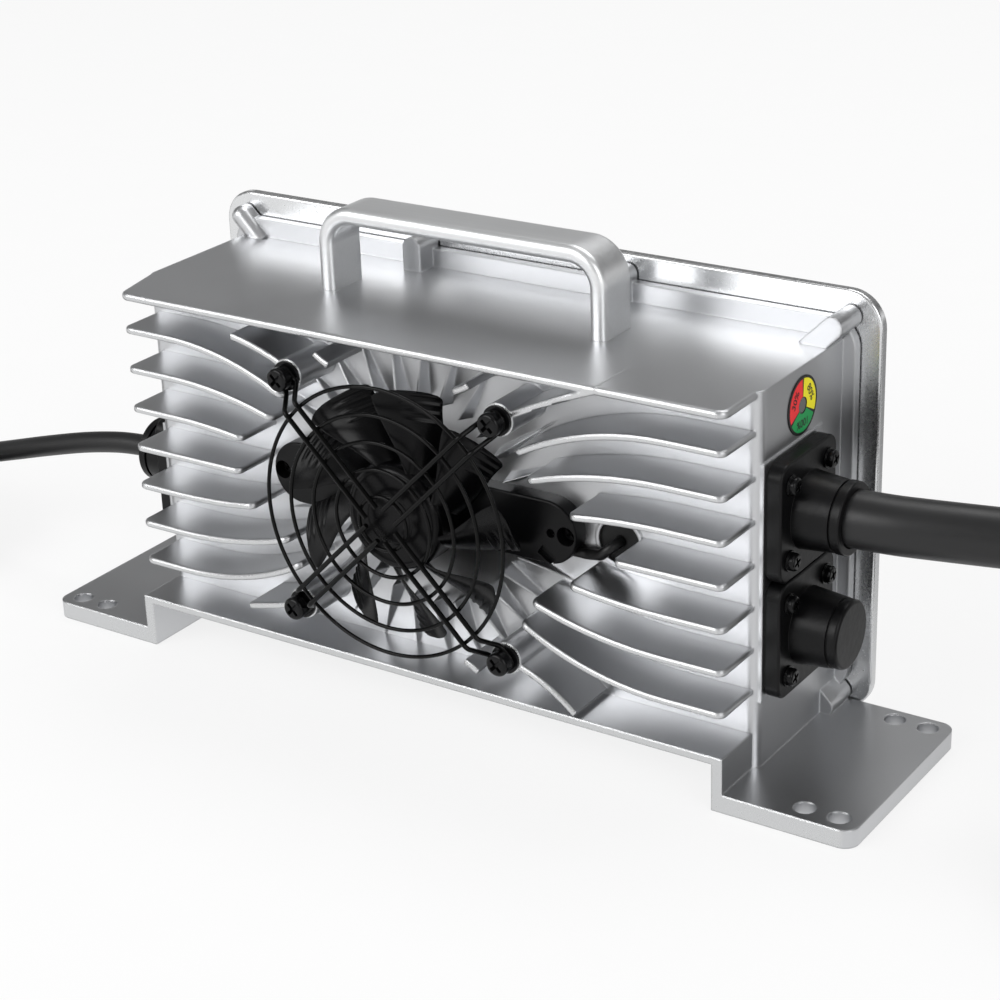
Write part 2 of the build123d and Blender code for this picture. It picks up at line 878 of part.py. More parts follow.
def handle_screws():
    """Screws that hold the handle from inside the case."""
    made = []
    for x, y in handle_screw_places():
        head_z = cavity_top_z - handle_screw_head_height
        stem = rod_z(handle_screw_radius, cavity_top_z, cavity_top_z + handle_screw_length, x, y)
        head = rod_z(handle_screw_head_radius, head_z, cavity_top_z, x, y)
        made.append(stem + head)
    return made


# Wire guard


def guard_leg():
    """One hairpin leg along +X from the fan's axis, with its eye round the screw."""
    eye = math.hypot(guard_screw_offset, guard_screw_offset)
    half = guard_leg_gap / 2
    front, back = guard_leg_y, guard_wire_y

    def side_points(v):
        return [
            (guard_leg_start, front, v),
            (guard_leg_bend, front, v),
            (guard_leg_foot, back, v),
            (eye, back, v),
        ]

    out = FilletPolyline(*side_points(half), radius=guard_leg_round)
    turn = ThreePointArc((eye, back, half), (eye + half, back, 0), (eye, back, -half))
    home = FilletPolyline(*reversed(side_points(-half)), radius=guard_leg_round)
    path = Wire(out.edges() + turn.edges() + home.edges())
    section = Plane(origin=(guard_leg_start, front, half), z_dir=(1, 0, 0))
    return sweep(section * Circle(guard_leg_wire_radius), path=path)


def fan_guard():
    """Five rings welded under four hairpin legs."""
    leg = guard_leg()
    guard = Part() + [fan_turned(leg, 45 + 90 * k) for k in range(4)]
    for k in range(guard_ring_count):
        radius = guard_outer_radius * (k + 1) / guard_ring_count
        ring = Pos(fan_x, guard_ring_y, fan_z) * Rot(90, 0, 0) * Torus(radius, guard_ring_wire_radius)
        guard += ring
    return guard


def guard_screws():
    """Four pan head screws in front of the washers."""
    length = guard_boss_front_y + guard_screw_depth - 1 - guard_spring_y
    return [
        pan_screw_y(
            guard_screw_radius, length, guard_head_radius, guard_head_height,
            guard_spring_y, x, z, facing=-1,
        )
        for x, z in guard_screw_places()
    ]


def washers(radius, thickness, y):
    """Four washers on the guard's screws, with their front at y."""
    hole = guard_screw_radius + hole_clearance
    return [
        rod_y(radius, y, y + thickness, x, z) - rod_y(hole, y - 1, y + thickness + 1, x, z)
        for x, z in guard_screw_places()
    ]


def spring_washers():
    """Four split spring washers."""
    split = 0.8
    made = []
    for ring, (x, z) in zip(
        washers(spring_washer_radius, spring_washer_thickness, guard_spring_y),
        guard_screw_places(),
    ):
        y1 = guard_spring_y + spring_washer_thickness + 1
        gap = block(x - split / 2, x + split / 2, guard_spring_y - 1, y1, z, z + spring_washer_radius + 1)
        made.append(ring - gap)
    return made


# Fan


def blade(angle):
    """One curved blade, whose front edge reaches the given angle at its tip.

    The blade falls back from that angle by the lean times the square of what is
    left of the way from hub to tip.
    """
    half = math.radians(blade_sweep / 2)
    rise = blade_rear_y - blade_front_y
    root = hub_radius - hub_wall / 2
    reach = blade_tip_radius + 1 - root
    sections = []
    for k in range(blade_stations):
        share = k / (blade_stations - 1)
        radius = root + reach * share
        cx, cz = direction(angle - blade_sweep / 2 - blade_lean * (1 - share) ** 2)
        width = 2 * radius * math.sin(half)
        plane = Plane(
            origin=(fan_x + radius * cx, 0, fan_z + radius * cz),
            x_dir=(-cz, 0, cx),
            z_dir=(cx, 0, cz),
        )
        slant = math.degrees(math.atan2(rise, width))
        line = Pos(0, -(blade_front_y + blade_rear_y) / 2) * Rot(0, 0, slant)
        sections.append(plane * line * Rectangle(math.hypot(width, rise), blade_thickness))
    return loft(sections, ruled=True)


def fan_impeller():
    """Hub cup and blades, with the blades' tips rounded in side view."""
    tip = Pos(blade_tip_radius / 2, (blade_front_y + blade_rear_y) / 2)
    tip = tip * Rectangle(blade_tip_radius, blade_rear_y - blade_front_y)
    tip = fillet(tip.vertices().group_by(Axis.X)[-1], blade_tip_round)
    swept = Pos(fan_x, 0, fan_z) * revolve(tip, Axis.Y)
    blades = Part() + [blade(blade_first_angle + 360 / blade_count * k) for k in range(blade_count)]
    blades = blades & swept
    hub = rod_y(hub_radius, hub_face_y, hub_rear_y, fan_x, fan_z)
    hub = fillet(hub.edges().group_by(Axis.Y)[0], hub_round)
    body = hub + blades
    inside = rod_y(hub_radius - hub_wall, hub_face_y + hub_wall, hub_rear_y + 1, fan_x, fan_z)
    body -= inside
    boss = rod_y(hub_boss_radius, hub_face_y + hub_wall / 2, hub_boss_depth, fan_x, fan_z)
    body += boss
    bore = shaft_radius + running_clearance / 2
    return body - rod_y(bore, hub_face_y + hub_wall / 2, hub_boss_depth + 1, fan_x, fan_z)


def magnet_radius():
    """Outside of the magnet ring, just inside the hub."""
    return hub_radius - hub_wall - seat_gap


def fan_rotor_magnet():
    """The magnet ring in the hub."""
    outer = rod_y(magnet_radius(), magnet_front_y, magnet_rear_y, fan_x, fan_z)
    inner = magnet_radius() - magnet_thickness
    return outer - rod_y(inner, magnet_front_y - 1, magnet_rear_y + 1, fan_x, fan_z)


def fan_shaft():
    """The steel shaft from the hub to the bracket's bearing tube."""
    return rod_y(shaft_radius, hub_face_y + hub_wall / 2, shaft_rear_y, fan_x, fan_z)


def fan_bearings():
    """Two bearings in the tube."""
    made = []
    bore = shaft_radius + running_clearance
    for y in (bearing_front_y, bearing_rear_y):
        ring = rod_y(bearing_radius, y, y + bearing_width, fan_x, fan_z)
        made.append(ring - rod_y(bore, y - 1, y + bearing_width + 1, fan_x, fan_z))
    return made


def tube_radius():
    """Outside of the bearing tube."""
    return bearing_radius + thread_clearance + bearing_tube_wall


def fan_stator():
    """The wound stator with its pole shoes, on the bearing tube."""
    core = Circle(tube_radius() + 3.0)
    shoe_ring = Circle(stator_radius) - Circle(stator_radius - 2.2)
    for k in range(stator_poles):
        turn = Rot(0, 0, 45 + 360 / stator_poles * k)
        arm = Pos(stator_radius / 2, 0) * Rectangle(stator_radius - 1, 7.0)
        core += turn * arm
        core += (turn * Pos(stator_radius, 0) * Rectangle(stator_radius, 15.0)) & shoe_ring
    core -= Circle(tube_radius() + thread_clearance)
    return Pos(fan_x, 0, fan_z) * upright(core, stator_front_y, stator_rear_y)


def fan_circuit_board():
    """The fan's ring-shaped board."""
    rear = fan_board_front_y + fan_board_thickness
    disc = rod_y(stator_radius, fan_board_front_y, rear, fan_x, fan_z)
    hole = tube_radius() + thread_clearance
    return disc - rod_y(hole, fan_board_front_y - 1, rear + 1, fan_x, fan_z)


def fan_bracket():
    """A bar across the front wall that carries the motor, with its bearing tube."""
    base_y = fan_board_front_y + fan_board_thickness
    bar = Pos(fan_x, fan_z) * SlotOverall(2 * bracket_half_length, 2 * bracket_half_height)
    body = upright(bar, bracket_front_y, front_wall_y)
    front_edge = body.edges().group_by(Axis.Y)[0]
    body = fillet(front_edge, 0.8)
    body += rod_y(fan_base_radius, base_y, bracket_front_y + 1, fan_x, fan_z)
    body += rod_y(tube_radius(), bearing_tube_front_y, bracket_front_y + 1, fan_x, fan_z)
    bore = bearing_radius + thread_clearance
    bore_rear = bearing_rear_y + bearing_width
    body -= rod_y(bore, 0, bore_rear, fan_x, fan_z)
    body -= rod_y(shaft_radius + 0.5, 0, shaft_rear_y + 0.5, fan_x, fan_z)
    for s in (-1, 1):
        x = fan_x + s * bracket_hole_offset
        hole = bracket_screw_radius + hole_clearance
        body -= rod_y(hole, 0, front_wall_y + 1, x, fan_z)
        seat = bracket_front_y + bracket_counterbore_depth
        body -= rod_y(bracket_counterbore_radius, 0, seat, x, fan_z)
    x = fan_x + bracket_hole_offset - bracket_small_hole_inset
    body -= rod_y(bracket_small_hole_radius, 0, bracket_front_y + 2.5, x, fan_z)
    slot = Pos(fan_x + bracket_hole_offset - bracket_slot_inset, fan_z - bracket_slot_drop)
    slot = slot * Rot(0, 0, bracket_slot_angle) * Rectangle(bracket_slot_length, bracket_slot_width)
    body -= upright(slot, 0, bracket_front_y + bracket_slot_depth)
    z = fan_z - lead_drop
    half = lead_channel_width / 2
    start = fan_x + tube_radius() + 3
    channel_y = front_wall_y - lead_channel_depth
    end = fan_x + bracket_half_length + 1
    body -= block(start, end, channel_y, front_wall_y + 1, z - half, z + half)
    return body


def fan_bracket_screws():
    """Two screws sunk in the bracket's ends."""
    seat = bracket_front_y + bracket_counterbore_depth
    return [
        pan_screw_y(
            bracket_screw_radius, bracket_screw_length, bracket_head_radius,
            bracket_head_height, seat, fan_x + s * bracket_hole_offset, fan_z, facing=-1,
        )
        for s in (-1, 1)
    ]


def fan_lead():
    """The fan's lead, from its channel behind the bracket through the wall to the board."""
    lie_y = front_wall_y - lead_radius - seat_gap
    z = fan_z - lead_drop
    bracket_end = fan_x + bracket_half_length
    points = [
        (fan_x + tube_radius() + 4, lie_y, z),
        (bracket_end + 1.8, lie_y, z),
        (bracket_end + 8.0, lie_y - 2.4, z + 2.0),
        (lead_hole_x, lie_y - 3.4, lead_hole_z),
        (lead_hole_x, board_front_y, lead_hole_z),
    ]
    path = FilletPolyline(*points, radius=[6.0, 5.0, 4.0])
    section = Plane(origin=points[0], z_dir=(1, 0, 0)) * Circle(lead_radius)
    return sweep(section, path=path)


def fan_lead_grommet():
    """A rubber grommet in the wall hole, round the lead."""
    y0 = front_wall_y + grommet_setback
    y1 = y0 + grommet_thickness
    ring = rod_y(lead_hole_radius - thread_clearance, y0, y1, lead_hole_x, lead_hole_z)
    return ring - rod_y(lead_radius + slip_clearance, y0 - 1, y1 + 1, lead_hole_x, lead_hole_z)


# Sockets, made for the right wall and mirrored for the left one


def socket(z, bore, wires):
    """A flanged socket: plate, tapered barrel and neck, with the cable's bore."""
    face = RectangleRounded(
        2 * socket_plate_half_depth, 2 * socket_plate_half_height, socket_plate_corner
    )
    place = Plane(origin=(socket_plate_x, socket_y, z), x_dir=(0, 1, 0), z_dir=(1, 0, 0))
    body = extrude(place * face, amount=socket_plate_thickness)
    body = fillet(body.edges().group_by(Axis.X)[-1], 0.8)
    middle = (socket_face_x + socket_tip_x) / 2
    cone = Cone(socket_base_radius, socket_tip_radius, socket_barrel_length)
    body += Pos(middle, socket_y, z) * Rot(0, 90, 0) * cone
    body += rod_x(socket_neck_radius, socket_face_x, socket_neck_x, socket_y, z)
    body -= rod_x(bore, cable_seat_x, socket_neck_x + 1, socket_y, z)
    body -= rod_x(wires, socket_plate_x - 1, cable_seat_x + 1, socket_y, z)
    hole = socket_screw_radius + hole_clearance
    for y, zs in screw_corners(socket_y, z):
        body -= rod_x(hole, socket_plate_x - 1, socket_face_x + 1, y, zs)
    return body


def gland_ring(z, bore):
    """The clamping ring at a socket's mouth."""
    end = socket_neck_x + gland_ring_length
    ring = rod_x(gland_ring_radius, socket_neck_x, end, socket_y, z)
    ring = fillet(ring.edges().group_by(Axis.X)[-1], gland_ring_round)
    return ring - rod_x(bore, socket_neck_x - 1, end + 1, socket_y, z)


def spare_port_cap():
    """The blanking cap of the unused socket, with its stem."""
    end = socket_neck_x + port_cap_length
    cap = rod_x(port_cap_radius, socket_neck_x, end, socket_y, spare_socket_z)
    cap = fillet(cap.edges().group_by(Axis.X)[-1], port_cap_round)
    start = socket_neck_x - port_cap_stem_length
    return cap + rod_x(output_cable_radius, start, socket_neck_x + 1, socket_y, spare_socket_z)


def socket_gasket(z, wires):
    """A rubber sheet between a socket and its pad."""
    face = RectangleRounded(
        2 * socket_plate_half_depth - 1, 2 * socket_plate_half_height - 1, socket_plate_corner
    )
    place = Plane(origin=(socket_seat_x, socket_y, z), x_dir=(0, 1, 0), z_dir=(1, 0, 0))
    body = extrude(place * face, amount=socket_gasket_thickness)
    body -= rod_x(wires, socket_seat_x - 1, socket_plate_x + 1, socket_y, z)
    hole = socket_screw_radius + hole_clearance
    for y, zs in screw_corners(socket_y, z):
        body -= rod_x(hole, socket_seat_x - 1, socket_plate_x + 1, y, zs)
    return body


def to_left(shape):
    """The same part on the left wall."""
    return mirror(shape, about=Plane.YZ)


def socket_gaskets():
    """The three gaskets."""
    return [
        socket_gasket(output_socket_z, socket_wire_hole),
        socket_gasket(spare_socket_z, socket_wire_hole),
        to_left(socket_gasket(mains_socket_z, mains_wire_hole)),
    ]


def socket_screw(y, z):
    """One pan head screw with its washer."""
    washer_x = socket_face_x + socket_washer_thickness
    head_x = washer_x + socket_screw_head_height
    stem = rod_x(socket_screw_radius, socket_face_x - socket_screw_length, washer_x, y, z)
    washer = rod_x(socket_washer_radius, socket_face_x, washer_x, y, z)
    head = rod_x(socket_screw_head_radius, washer_x, head_x, y, z)
    head = fillet(head.edges().group_by(Axis.X)[-1], socket_screw_head_height * 0.45)
    depth = socket_screw_head_height
    length = socket_screw_head_radius * 1.3
    slots = [Pos(head_x, y, z) * Rot(angle, 0, 0) * Box(depth, length, 0.9) for angle in (20, 110)]
    return stem + washer + head - slots


def socket_screws():
    """Four screws for each socket."""
    made = []
    for side, z in socket_places():
        for y, zs in screw_corners(socket_y, z):
            one = socket_screw(y, zs)
            made.append(one if side > 0 else to_left(one))
    return made


# Charge indicator


def indicator_label():
    """The round label on the right end wall, with a window."""
    rear = case_half_width
    disc = rod_x(indicator_radius, rear, rear + indicator_thickness, indicator_y, indicator_z)
    window = light_pipe_radius + slip_clearance
    return disc - rod_x(window, rear - 1, rear + 1, indicator_y, indicator_z)


def indicator_lens():
    """The light pipe behind the label's window."""
    end = case_half_width + indicator_thickness / 2
    start = case_half_width - light_pipe_length + 1
    return rod_x(light_pipe_radius, start, end, indicator_y, indicator_z)


def indicator_board():
    """A small board on two pegs, with its lamp against the light pipe."""
    face = case_half_width - light_pipe_length
    half = indicator_board_size / 2
    board = block(
        face - indicator_board_thickness, face, indicator_y - half, indicator_y + half,
        indicator_z - half, indicator_z + half,
    )
    return board + rod_x(light_pipe_radius, face - 0.5, face + 1, indicator_y, indicator_z)


# Circuit board assembly


def main_circuit_board():
    """The main board on its posts."""
    board = block(
        -board_half_width, board_half_width, board_front_y, board_rear_y,
        board_bottom_z, board_top_z,
    )
    hole = board_screw_radius + hole_clearance
    holes = [rod_y(hole, board_front_y - 1, board_rear_y + 1, x, z) for x, z in board_post_places()]
    return board - holes


def board_screws():
    """Four screws through the board into the posts."""
    return [
        pan_screw_y(
            board_screw_radius, board_screw_length, board_screw_head_radius,
            board_screw_head_height, board_rear_y, x, z,
        )
        for x, z in board_post_places()
    ]


def thermal_pads():
    """One insulating pad under each transistor."""
    low = transistor_bottom_z - thermal_pad_border
    high = transistor_bottom_z + transistor_height + thermal_pad_border
    half = transistor_width / 2 + thermal_pad_border
    rear = cavity_front_y + thermal_pad_thickness
    return [block(x - half, x + half, cavity_front_y, rear, low, high) for x in transistor_centres()]


def power_transistors():
    """Flat power transistors on the wall, with their leads bent back to the board."""
    front = cavity_front_y + thermal_pad_thickness
    rear = front + transistor_thickness
    top = transistor_bottom_z + transistor_height
    lead_y = front + transistor_thickness / 2
    lead = transistor_lead_thickness / 2
    made = []
    for x in transistor_centres():
        half = transistor_width / 2
        body = block(x - half, x + half, front, rear, transistor_bottom_z, top)
        tab = body.edges().filter_by(Axis.X).group_by(Axis.Y)[-1]
        body = chamfer(tab, 0.8)
        for step in (-1, 0, 1):
            x0 = x + step * transistor_lead_pitch - transistor_lead_width / 2
            x1 = x0 + transistor_lead_width
            bend = top + transistor_lead_run
            body += block(x0, x1, lead_y - lead, lead_y + lead, top - 1, bend)
            body += block(x0, x1, lead_y - lead, board_front_y, bend - 2 * lead, bend)
        made.append(body)
    return made


def transistor_clamp_bar():
    """The spring steel bar over the transistors."""
    front = cavity_front_y + thermal_pad_thickness + transistor_thickness
    middle = transistor_bottom_z + transistor_height / 2
    half = clamp_screw_x + clamp_overhang
    bar = block(
        -half, half, front, front + clamp_thickness,
        middle - clamp_height / 2, middle + clamp_height / 2,
    )
    hole = board_screw_radius + hole_clearance
    rear = front + clamp_thickness
    return bar - [rod_y(hole, front - 1, rear + 1, x, middle) for x in clamp_screw_centres()]


def clamp_screws():
    """Three screws that press the bar down."""
    seat = cavity_front_y + thermal_pad_thickness + transistor_thickness + clamp_thickness
    middle = transistor_bottom_z + transistor_height / 2
    return [
        pan_screw_y(
            board_screw_radius, board_screw_length, board_screw_head_radius,
            board_screw_head_height, seat, x, middle,
        )
        for x in clamp_screw_centres()
    ]


def bulk_capacitors():
    """Four storage capacitors on the board."""
    made = []
    for column in range(2):
        for row in range(2):
            x = capacitor_x + column * capacitor_pitch
            z = capacitor_z + row * capacitor_pitch
            can = rod_y(capacitor_radius, board_rear_y, board_rear_y + capacitor_length, x, z)
            made.append(fillet(can.edges().group_by(Axis.Y)[-1], 1.5))
    return made


def transformer_core():
    """A ferrite core with a middle leg and two side legs."""
    y0 = board_rear_y
    y1 = y0 + transformer_depth
    half = transformer_width / 2
    core = block(
        transformer_x - half, transformer_x + half, y0, y1,
        transformer_z - transformer_height / 2, transformer_z + transformer_height / 2,
    )
    for s in (-1, 1):
        near = transformer_x + s * transformer_leg / 2
        far = transformer_x + s * (half - transformer_leg / 2)
        core -= block(
            near, far, y0 + transformer_yoke, y1 - transformer_yoke,
            transformer_z - transformer_height, transformer_z + transformer_height,
        )
    return core


def transformer_winding():
    """The winding round the core's middle leg."""
    gap = winding_clearance
    y0 = board_rear_y + transformer_yoke + gap
    y1 = board_rear_y + transformer_depth - transformer_yoke - gap
    outer_x = transformer_width / 2 - transformer_leg / 2 - gap
    outer_z = transformer_height / 2 + winding_overhang
    inner_x = transformer_leg / 2 + gap
    inner_z = transformer_height / 2 + gap
    place = Pos(transformer_x, transformer_z)
    face = RectangleRounded(2 * outer_x, 2 * outer_z, 4.0) - Rectangle(2 * inner_x, 2 * inner_z)
    return upright(place * face, y0, y1)


def choke(x, z):
    """A wound ring lying on the board."""
    face = Pos((choke_outer_radius + choke_inner_radius) / 2, 0)
    face = face * RectangleRounded(
        choke_outer_radius - choke_inner_radius, choke_height, choke_round
    )
    ring = revolve(face, Axis.Y)
    return Pos(x, board_rear_y + choke_height / 2, z) * ring


def output_relay():
    """The output relay in its case."""
    half = relay_width / 2
    low = relay_z - relay_height / 2
    rear = board_rear_y + relay_depth
    body = block(relay_x - half, relay_x + half, board_rear_y, rear, low, low + relay_height)
    return fillet(body.edges().group_by(Axis.Y)[-1], 1.0)


def mains_fuse():
    """A cartridge fuse in its two clips."""
    axis_y = board_rear_y + fuse_clip_height
    half = fuse_length / 2
    body = rod_x(fuse_radius, fuse_x - half, fuse_x + half, axis_y, fuse_z)
    for s in (-1, 1):
        outer = fuse_x + s * half
        inner = outer - s * 5
        reach = fuse_radius - 0.4
        body += block(inner, outer, board_rear_y, axis_y, fuse_z - reach, fuse_z + reach)
    return body


def control_board():
    """The control board, standing on the main board."""
    half = control_board_width / 2
    rear = board_rear_y + control_board_rise
    low = control_board_z - board_thickness / 2
    high = low + board_thickness
    body = block(control_board_x - half, control_board_x + half, board_rear_y, rear, low, high)
    chip = 9.0
    chip_y = board_rear_y + control_board_rise / 2
    return body + block(
        control_board_x - chip, control_board_x + chip, chip_y - 5, chip_y + 5, high, high + 1.6
    )


def insulation_sheet():
    """A thin insulating sheet against the inside of the cover."""
    rear = cover_rear_y - pan_wall
    inset = pan_wall + insulation_inset
    return rounded_panel(
        pan_half_width - inset, pan_bottom_z + inset, pan_top_z - inset,
        4.0, rear - insulation_thickness, rear,
    )


# Free cords


def cord_radii(route):
    """The largest arc at each corner of a route: 0.45 of the shorter run over tan of half the turn."""
    points = [Vector(*p) for p in route]
    radii = []
    for before, here, after in zip(points, points[1:], points[2:]):
        turn = math.radians((here - before).get_angle(after - here))
        shorter = min((here - before).length, (after - here).length)
        radii.append(0.45 * shorter / math.tan(turn / 2))
    return radii


def cord_tube(route, radius, name):
    """A tube of straight runs and arcs along a route."""
    radii = cord_radii(route)
    path = FilletPolyline(*route, radius=radii)
    start = Vector(*route[0])
    section = Plane(origin=start, z_dir=Vector(*route[1]) - start) * Circle(radius)
    tube = sweep(section, path=path)
    ideal = math.pi * radius**2 * path.length
    listed = ", ".join(f"{r:.0f}" for r in radii)
    print(f"{name}: radii {listed} mm, length {path.length:.0f} mm, volume ratio {tube.volume / ideal:.4f}")
    return tube


def stadium(half_width):
    """The outline of the hank at a distance from its middle line."""
    length = hank_straight + 2 * half_width
    middle = hank_left_x + hank_straight / 2
    return Pos(middle, hank_y) * SlotOverall(length, 2 * half_width)


def output_cable_hank():
    """The put-away turns of the output cable, less the room of its connector."""
    low = cable_tie_thickness
    high = low + hank_layers * 2 * output_cable_radius
    outer = hank_turn_radius + output_cable_radius
    inner = hank_turn_radius - output_cable_radius
    ring = extrude(Pos(0, 0, low) * (stadium(outer) - stadium(inner)), amount=high - low)
    y = hank_y + hank_turn_radius
    room = block(
        hank_plug_x, hank_left_x + hank_straight, y - 2 * output_cable_radius,
        y + 2 * output_cable_radius, -1, low + 2 * output_cable_radius,
    )
    return ring - room


def output_plug():
    """A flat two-pole battery connector."""
    y = hank_y + hank_turn_radius
    x0 = hank_plug_x
    x1 = x0 + output_plug_length
    half = output_plug_width / 2
    body = block(x0, x1, y - half, y + half, 0, output_plug_height)
    body = fillet(body.edges().filter_by(Axis.Z), 2.0)
    mouth = output_contact_radius + 1.5
    for s in (-1, 1):
        cy = y + s * half / 2
        body -= rod_x(mouth, x1 - output_contact_length, x1 + 1, cy, output_plug_height / 2)
    return body


def output_plug_contacts():
    """The connector's two contacts."""
    y = hank_y + hank_turn_radius
    x1 = hank_plug_x + output_plug_length
    made = []
    for s in (-1, 1):
        cy = y + s * output_plug_width / 4
        z = output_plug_height / 2
        made.append(rod_x(output_contact_radius, x1 - output_contact_length, x1 - 2, cy, z))
    return made


def output_cable_tie():
    """A strap round the hank's front run."""
    y = hank_y - hank_turn_radius
    x = hank_left_x + hank_straight / 2
    t = cable_tie_thickness
    half = output_cable_radius
    high = t + hank_layers * 2 * output_cable_radius
    w = cable_tie_width / 2
    band = block(x - w, x + w, y - half - t, y + half + t, 0, high + t)
    return band - block(x - w - 1, x + w + 1, y - half, y + half, t, high)


def mains_cable_coil():
    """The put-away turns of the mains lead."""
    low = cable_tie_thickness
    high = low + coil_layers * 2 * mains_cable_radius
    half = coil_columns * mains_cable_radius
    outer = rod_z(coil_turn_radius + half, low, high, coil_x, coil_y)
    return outer - rod_z(coil_turn_radius - half, low - 1, high + 1, coil_x, coil_y)


def mains_cable_tie():
    """A strap round the coil's front side."""
    t = cable_tie_thickness
    half = coil_columns * mains_cable_radius + 0.5
    high = t + coil_layers * 2 * mains_cable_radius
    y = coil_y - coil_turn_radius
    w = cable_tie_width / 2
    band = block(coil_x - w, coil_x + w, y - half - t, y + half + t, 0, high + t)
    return band - block(coil_x - w - 1, coil_x + w + 1, y - half, y + half, t, high)


def mains_plug_floor():
    """Height of the top of the coil, where the mains plug lies."""
    return cable_tie_thickness + coil_layers * 2 * mains_cable_radius


def mains_plug():
    """A moulded mains plug lying along the left side of the coil."""
    low = mains_plug_floor()
    half = mains_plug_width / 2
    x = coil_x - coil_turn_radius
    reach = mains_plug_length / 2
    body = block(x - half, x + half, coil_y - reach, coil_y + reach, low, low + mains_plug_height)
    return fillet(body.edges().filter_by(Axis.Y), mains_plug_round)


def mains_plug_pins():
    """The plug's two round pins."""
    z = mains_plug_floor() + mains_plug_height / 2
    x = coil_x - coil_turn_radius
    y = coil_y - mains_plug_length / 2
    return [
        rod_y(mains_pin_radius, y - mains_pin_length, y, x + s * mains_pin_pitch / 2, z)
        for s in (-1, 1)
    ]


def parts():
    """Every node of the charger."""
    output_bore = output_cable_radius + slip_clearance
    mains_bore = mains_cable_radius + slip_clearance
    return {
        "heatsink_housing": heatsink_housing,
        "rear_cover": rear_cover,
        "cover_gasket": cover_gasket,
        "cover_screws": cover_screws,
        "handle": handle,
        "handle_screws": handle_screws,
        "fan_guard": fan_guard,
        "guard_screws": guard_screws,
        "guard_flat_washers": lambda: washers(
            flat_washer_radius, flat_washer_thickness, guard_washer_y
        ),
        "guard_spring_washers": spring_washers,
        "fan_impeller": fan_impeller,
        "fan_rotor_magnet": fan_rotor_magnet,
        "fan_shaft": fan_shaft,
        "fan_bearings": fan_bearings,
        "fan_stator": fan_stator,
        "fan_circuit_board": fan_circuit_board,
        "fan_bracket": fan_bracket,
        "fan_bracket_screws": fan_bracket_screws,
        "fan_lead": fan_lead,
        "fan_lead_grommet": fan_lead_grommet,
        "output_socket": lambda: socket(output_socket_z, output_bore, socket_wire_hole),
        "output_gland_ring": lambda: gland_ring(output_socket_z, output_bore),
        "spare_socket": lambda: socket(spare_socket_z, output_bore, socket_wire_hole),
        "spare_port_cap": spare_port_cap,
        "mains_socket": lambda: to_left(socket(mains_socket_z, mains_bore, mains_wire_hole)),
        "mains_gland_ring": lambda: to_left(gland_ring(mains_socket_z, mains_bore)),
        "socket_gaskets": socket_gaskets,
        "socket_screws": socket_screws,
        "indicator_label": indicator_label,
        "indicator_lens": indicator_lens,
        "indicator_board": indicator_board,
        "main_circuit_board": main_circuit_board,
        "board_screws": board_screws,
        "thermal_pads": thermal_pads,
        "power_transistors": power_transistors,
        "transistor_clamp_bar": transistor_clamp_bar,
        "clamp_screws": clamp_screws,
        "bulk_capacitors": bulk_capacitors,
        "transformer_core": transformer_core,
        "transformer_winding": transformer_winding,
        "input_choke": lambda: choke(input_choke_x, input_choke_z),
        "output_choke": lambda: choke(output_choke_x, output_choke_z),
        "output_relay": output_relay,
        "mains_fuse": mains_fuse,
        "control_board": control_board,
        "insulation_sheet": insulation_sheet,
        "output_cable": lambda: cord_tube(output_cable_route, output_cable_radius, "output cable"),
        "output_cable_hank": output_cable_hank,
        "output_cable_tie": output_cable_tie,
        "output_plug": output_plug,
        "output_plug_contacts": output_plug_contacts,
        "mains_cable": lambda: cord_tube(mains_cable_route, mains_cable_radius, "mains cable"),
        "mains_cable_coil": mains_cable_coil,
        "mains_cable_tie": mains_cable_tie,
        "mains_plug": mains_plug,
        "mains_plug_pins": mains_plug_pins,
    }


def write_part(name, made):
    """Shift a part to the written frame and save it as one STEP file."""
    pieces = made if isinstance(made, list) else [made]
    solids = [solid for piece in pieces for solid in piece.solids()]
    moved = [Pos(0, origin_shift, 0) * solid for solid in solids]
    shape = moved[0] if len(moved) == 1 else Compound(children=moved)
    shape.label = name
    export_step(shape, f"parts/{name}.step")


def main():
    """Write every part."""
    os.makedirs("parts", exist_ok=True)
    for name, make in parts().items():
        write_part(name, make())


main()
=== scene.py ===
"""The looks of a fan-cooled battery charger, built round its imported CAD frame."""

import logging
import math
from dataclasses import dataclass, field
from enum import Enum

import bmesh
import bpy
import numpy as np
from mathutils import Matrix

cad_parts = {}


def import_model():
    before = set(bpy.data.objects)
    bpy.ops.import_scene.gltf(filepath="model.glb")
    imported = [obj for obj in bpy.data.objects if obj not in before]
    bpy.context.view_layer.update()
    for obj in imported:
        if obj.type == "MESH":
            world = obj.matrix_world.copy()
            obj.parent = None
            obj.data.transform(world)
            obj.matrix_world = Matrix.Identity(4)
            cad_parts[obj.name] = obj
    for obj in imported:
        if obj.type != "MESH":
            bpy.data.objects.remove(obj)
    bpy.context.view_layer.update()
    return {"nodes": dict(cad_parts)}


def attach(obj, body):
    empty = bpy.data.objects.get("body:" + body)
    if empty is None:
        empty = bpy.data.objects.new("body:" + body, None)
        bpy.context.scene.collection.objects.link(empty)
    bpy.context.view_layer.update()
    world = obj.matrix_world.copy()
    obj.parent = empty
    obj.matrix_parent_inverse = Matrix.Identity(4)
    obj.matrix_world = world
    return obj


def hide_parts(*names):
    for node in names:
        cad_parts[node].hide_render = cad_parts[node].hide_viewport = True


log = logging.getLogger("charger")
MM = 0.001
# How far the frame's origin lies behind the fins' front edges, in millimetres.
FRAME_SHIFT = -43.125
BEVEL_SAMPLES = 4
# Steps round a cord's half section and between two points of its route.
CORD_SECTION_STEPS = 9
CORD_ROUTE_STEPS = 10
DOUBLES_WITHIN = 1e-6


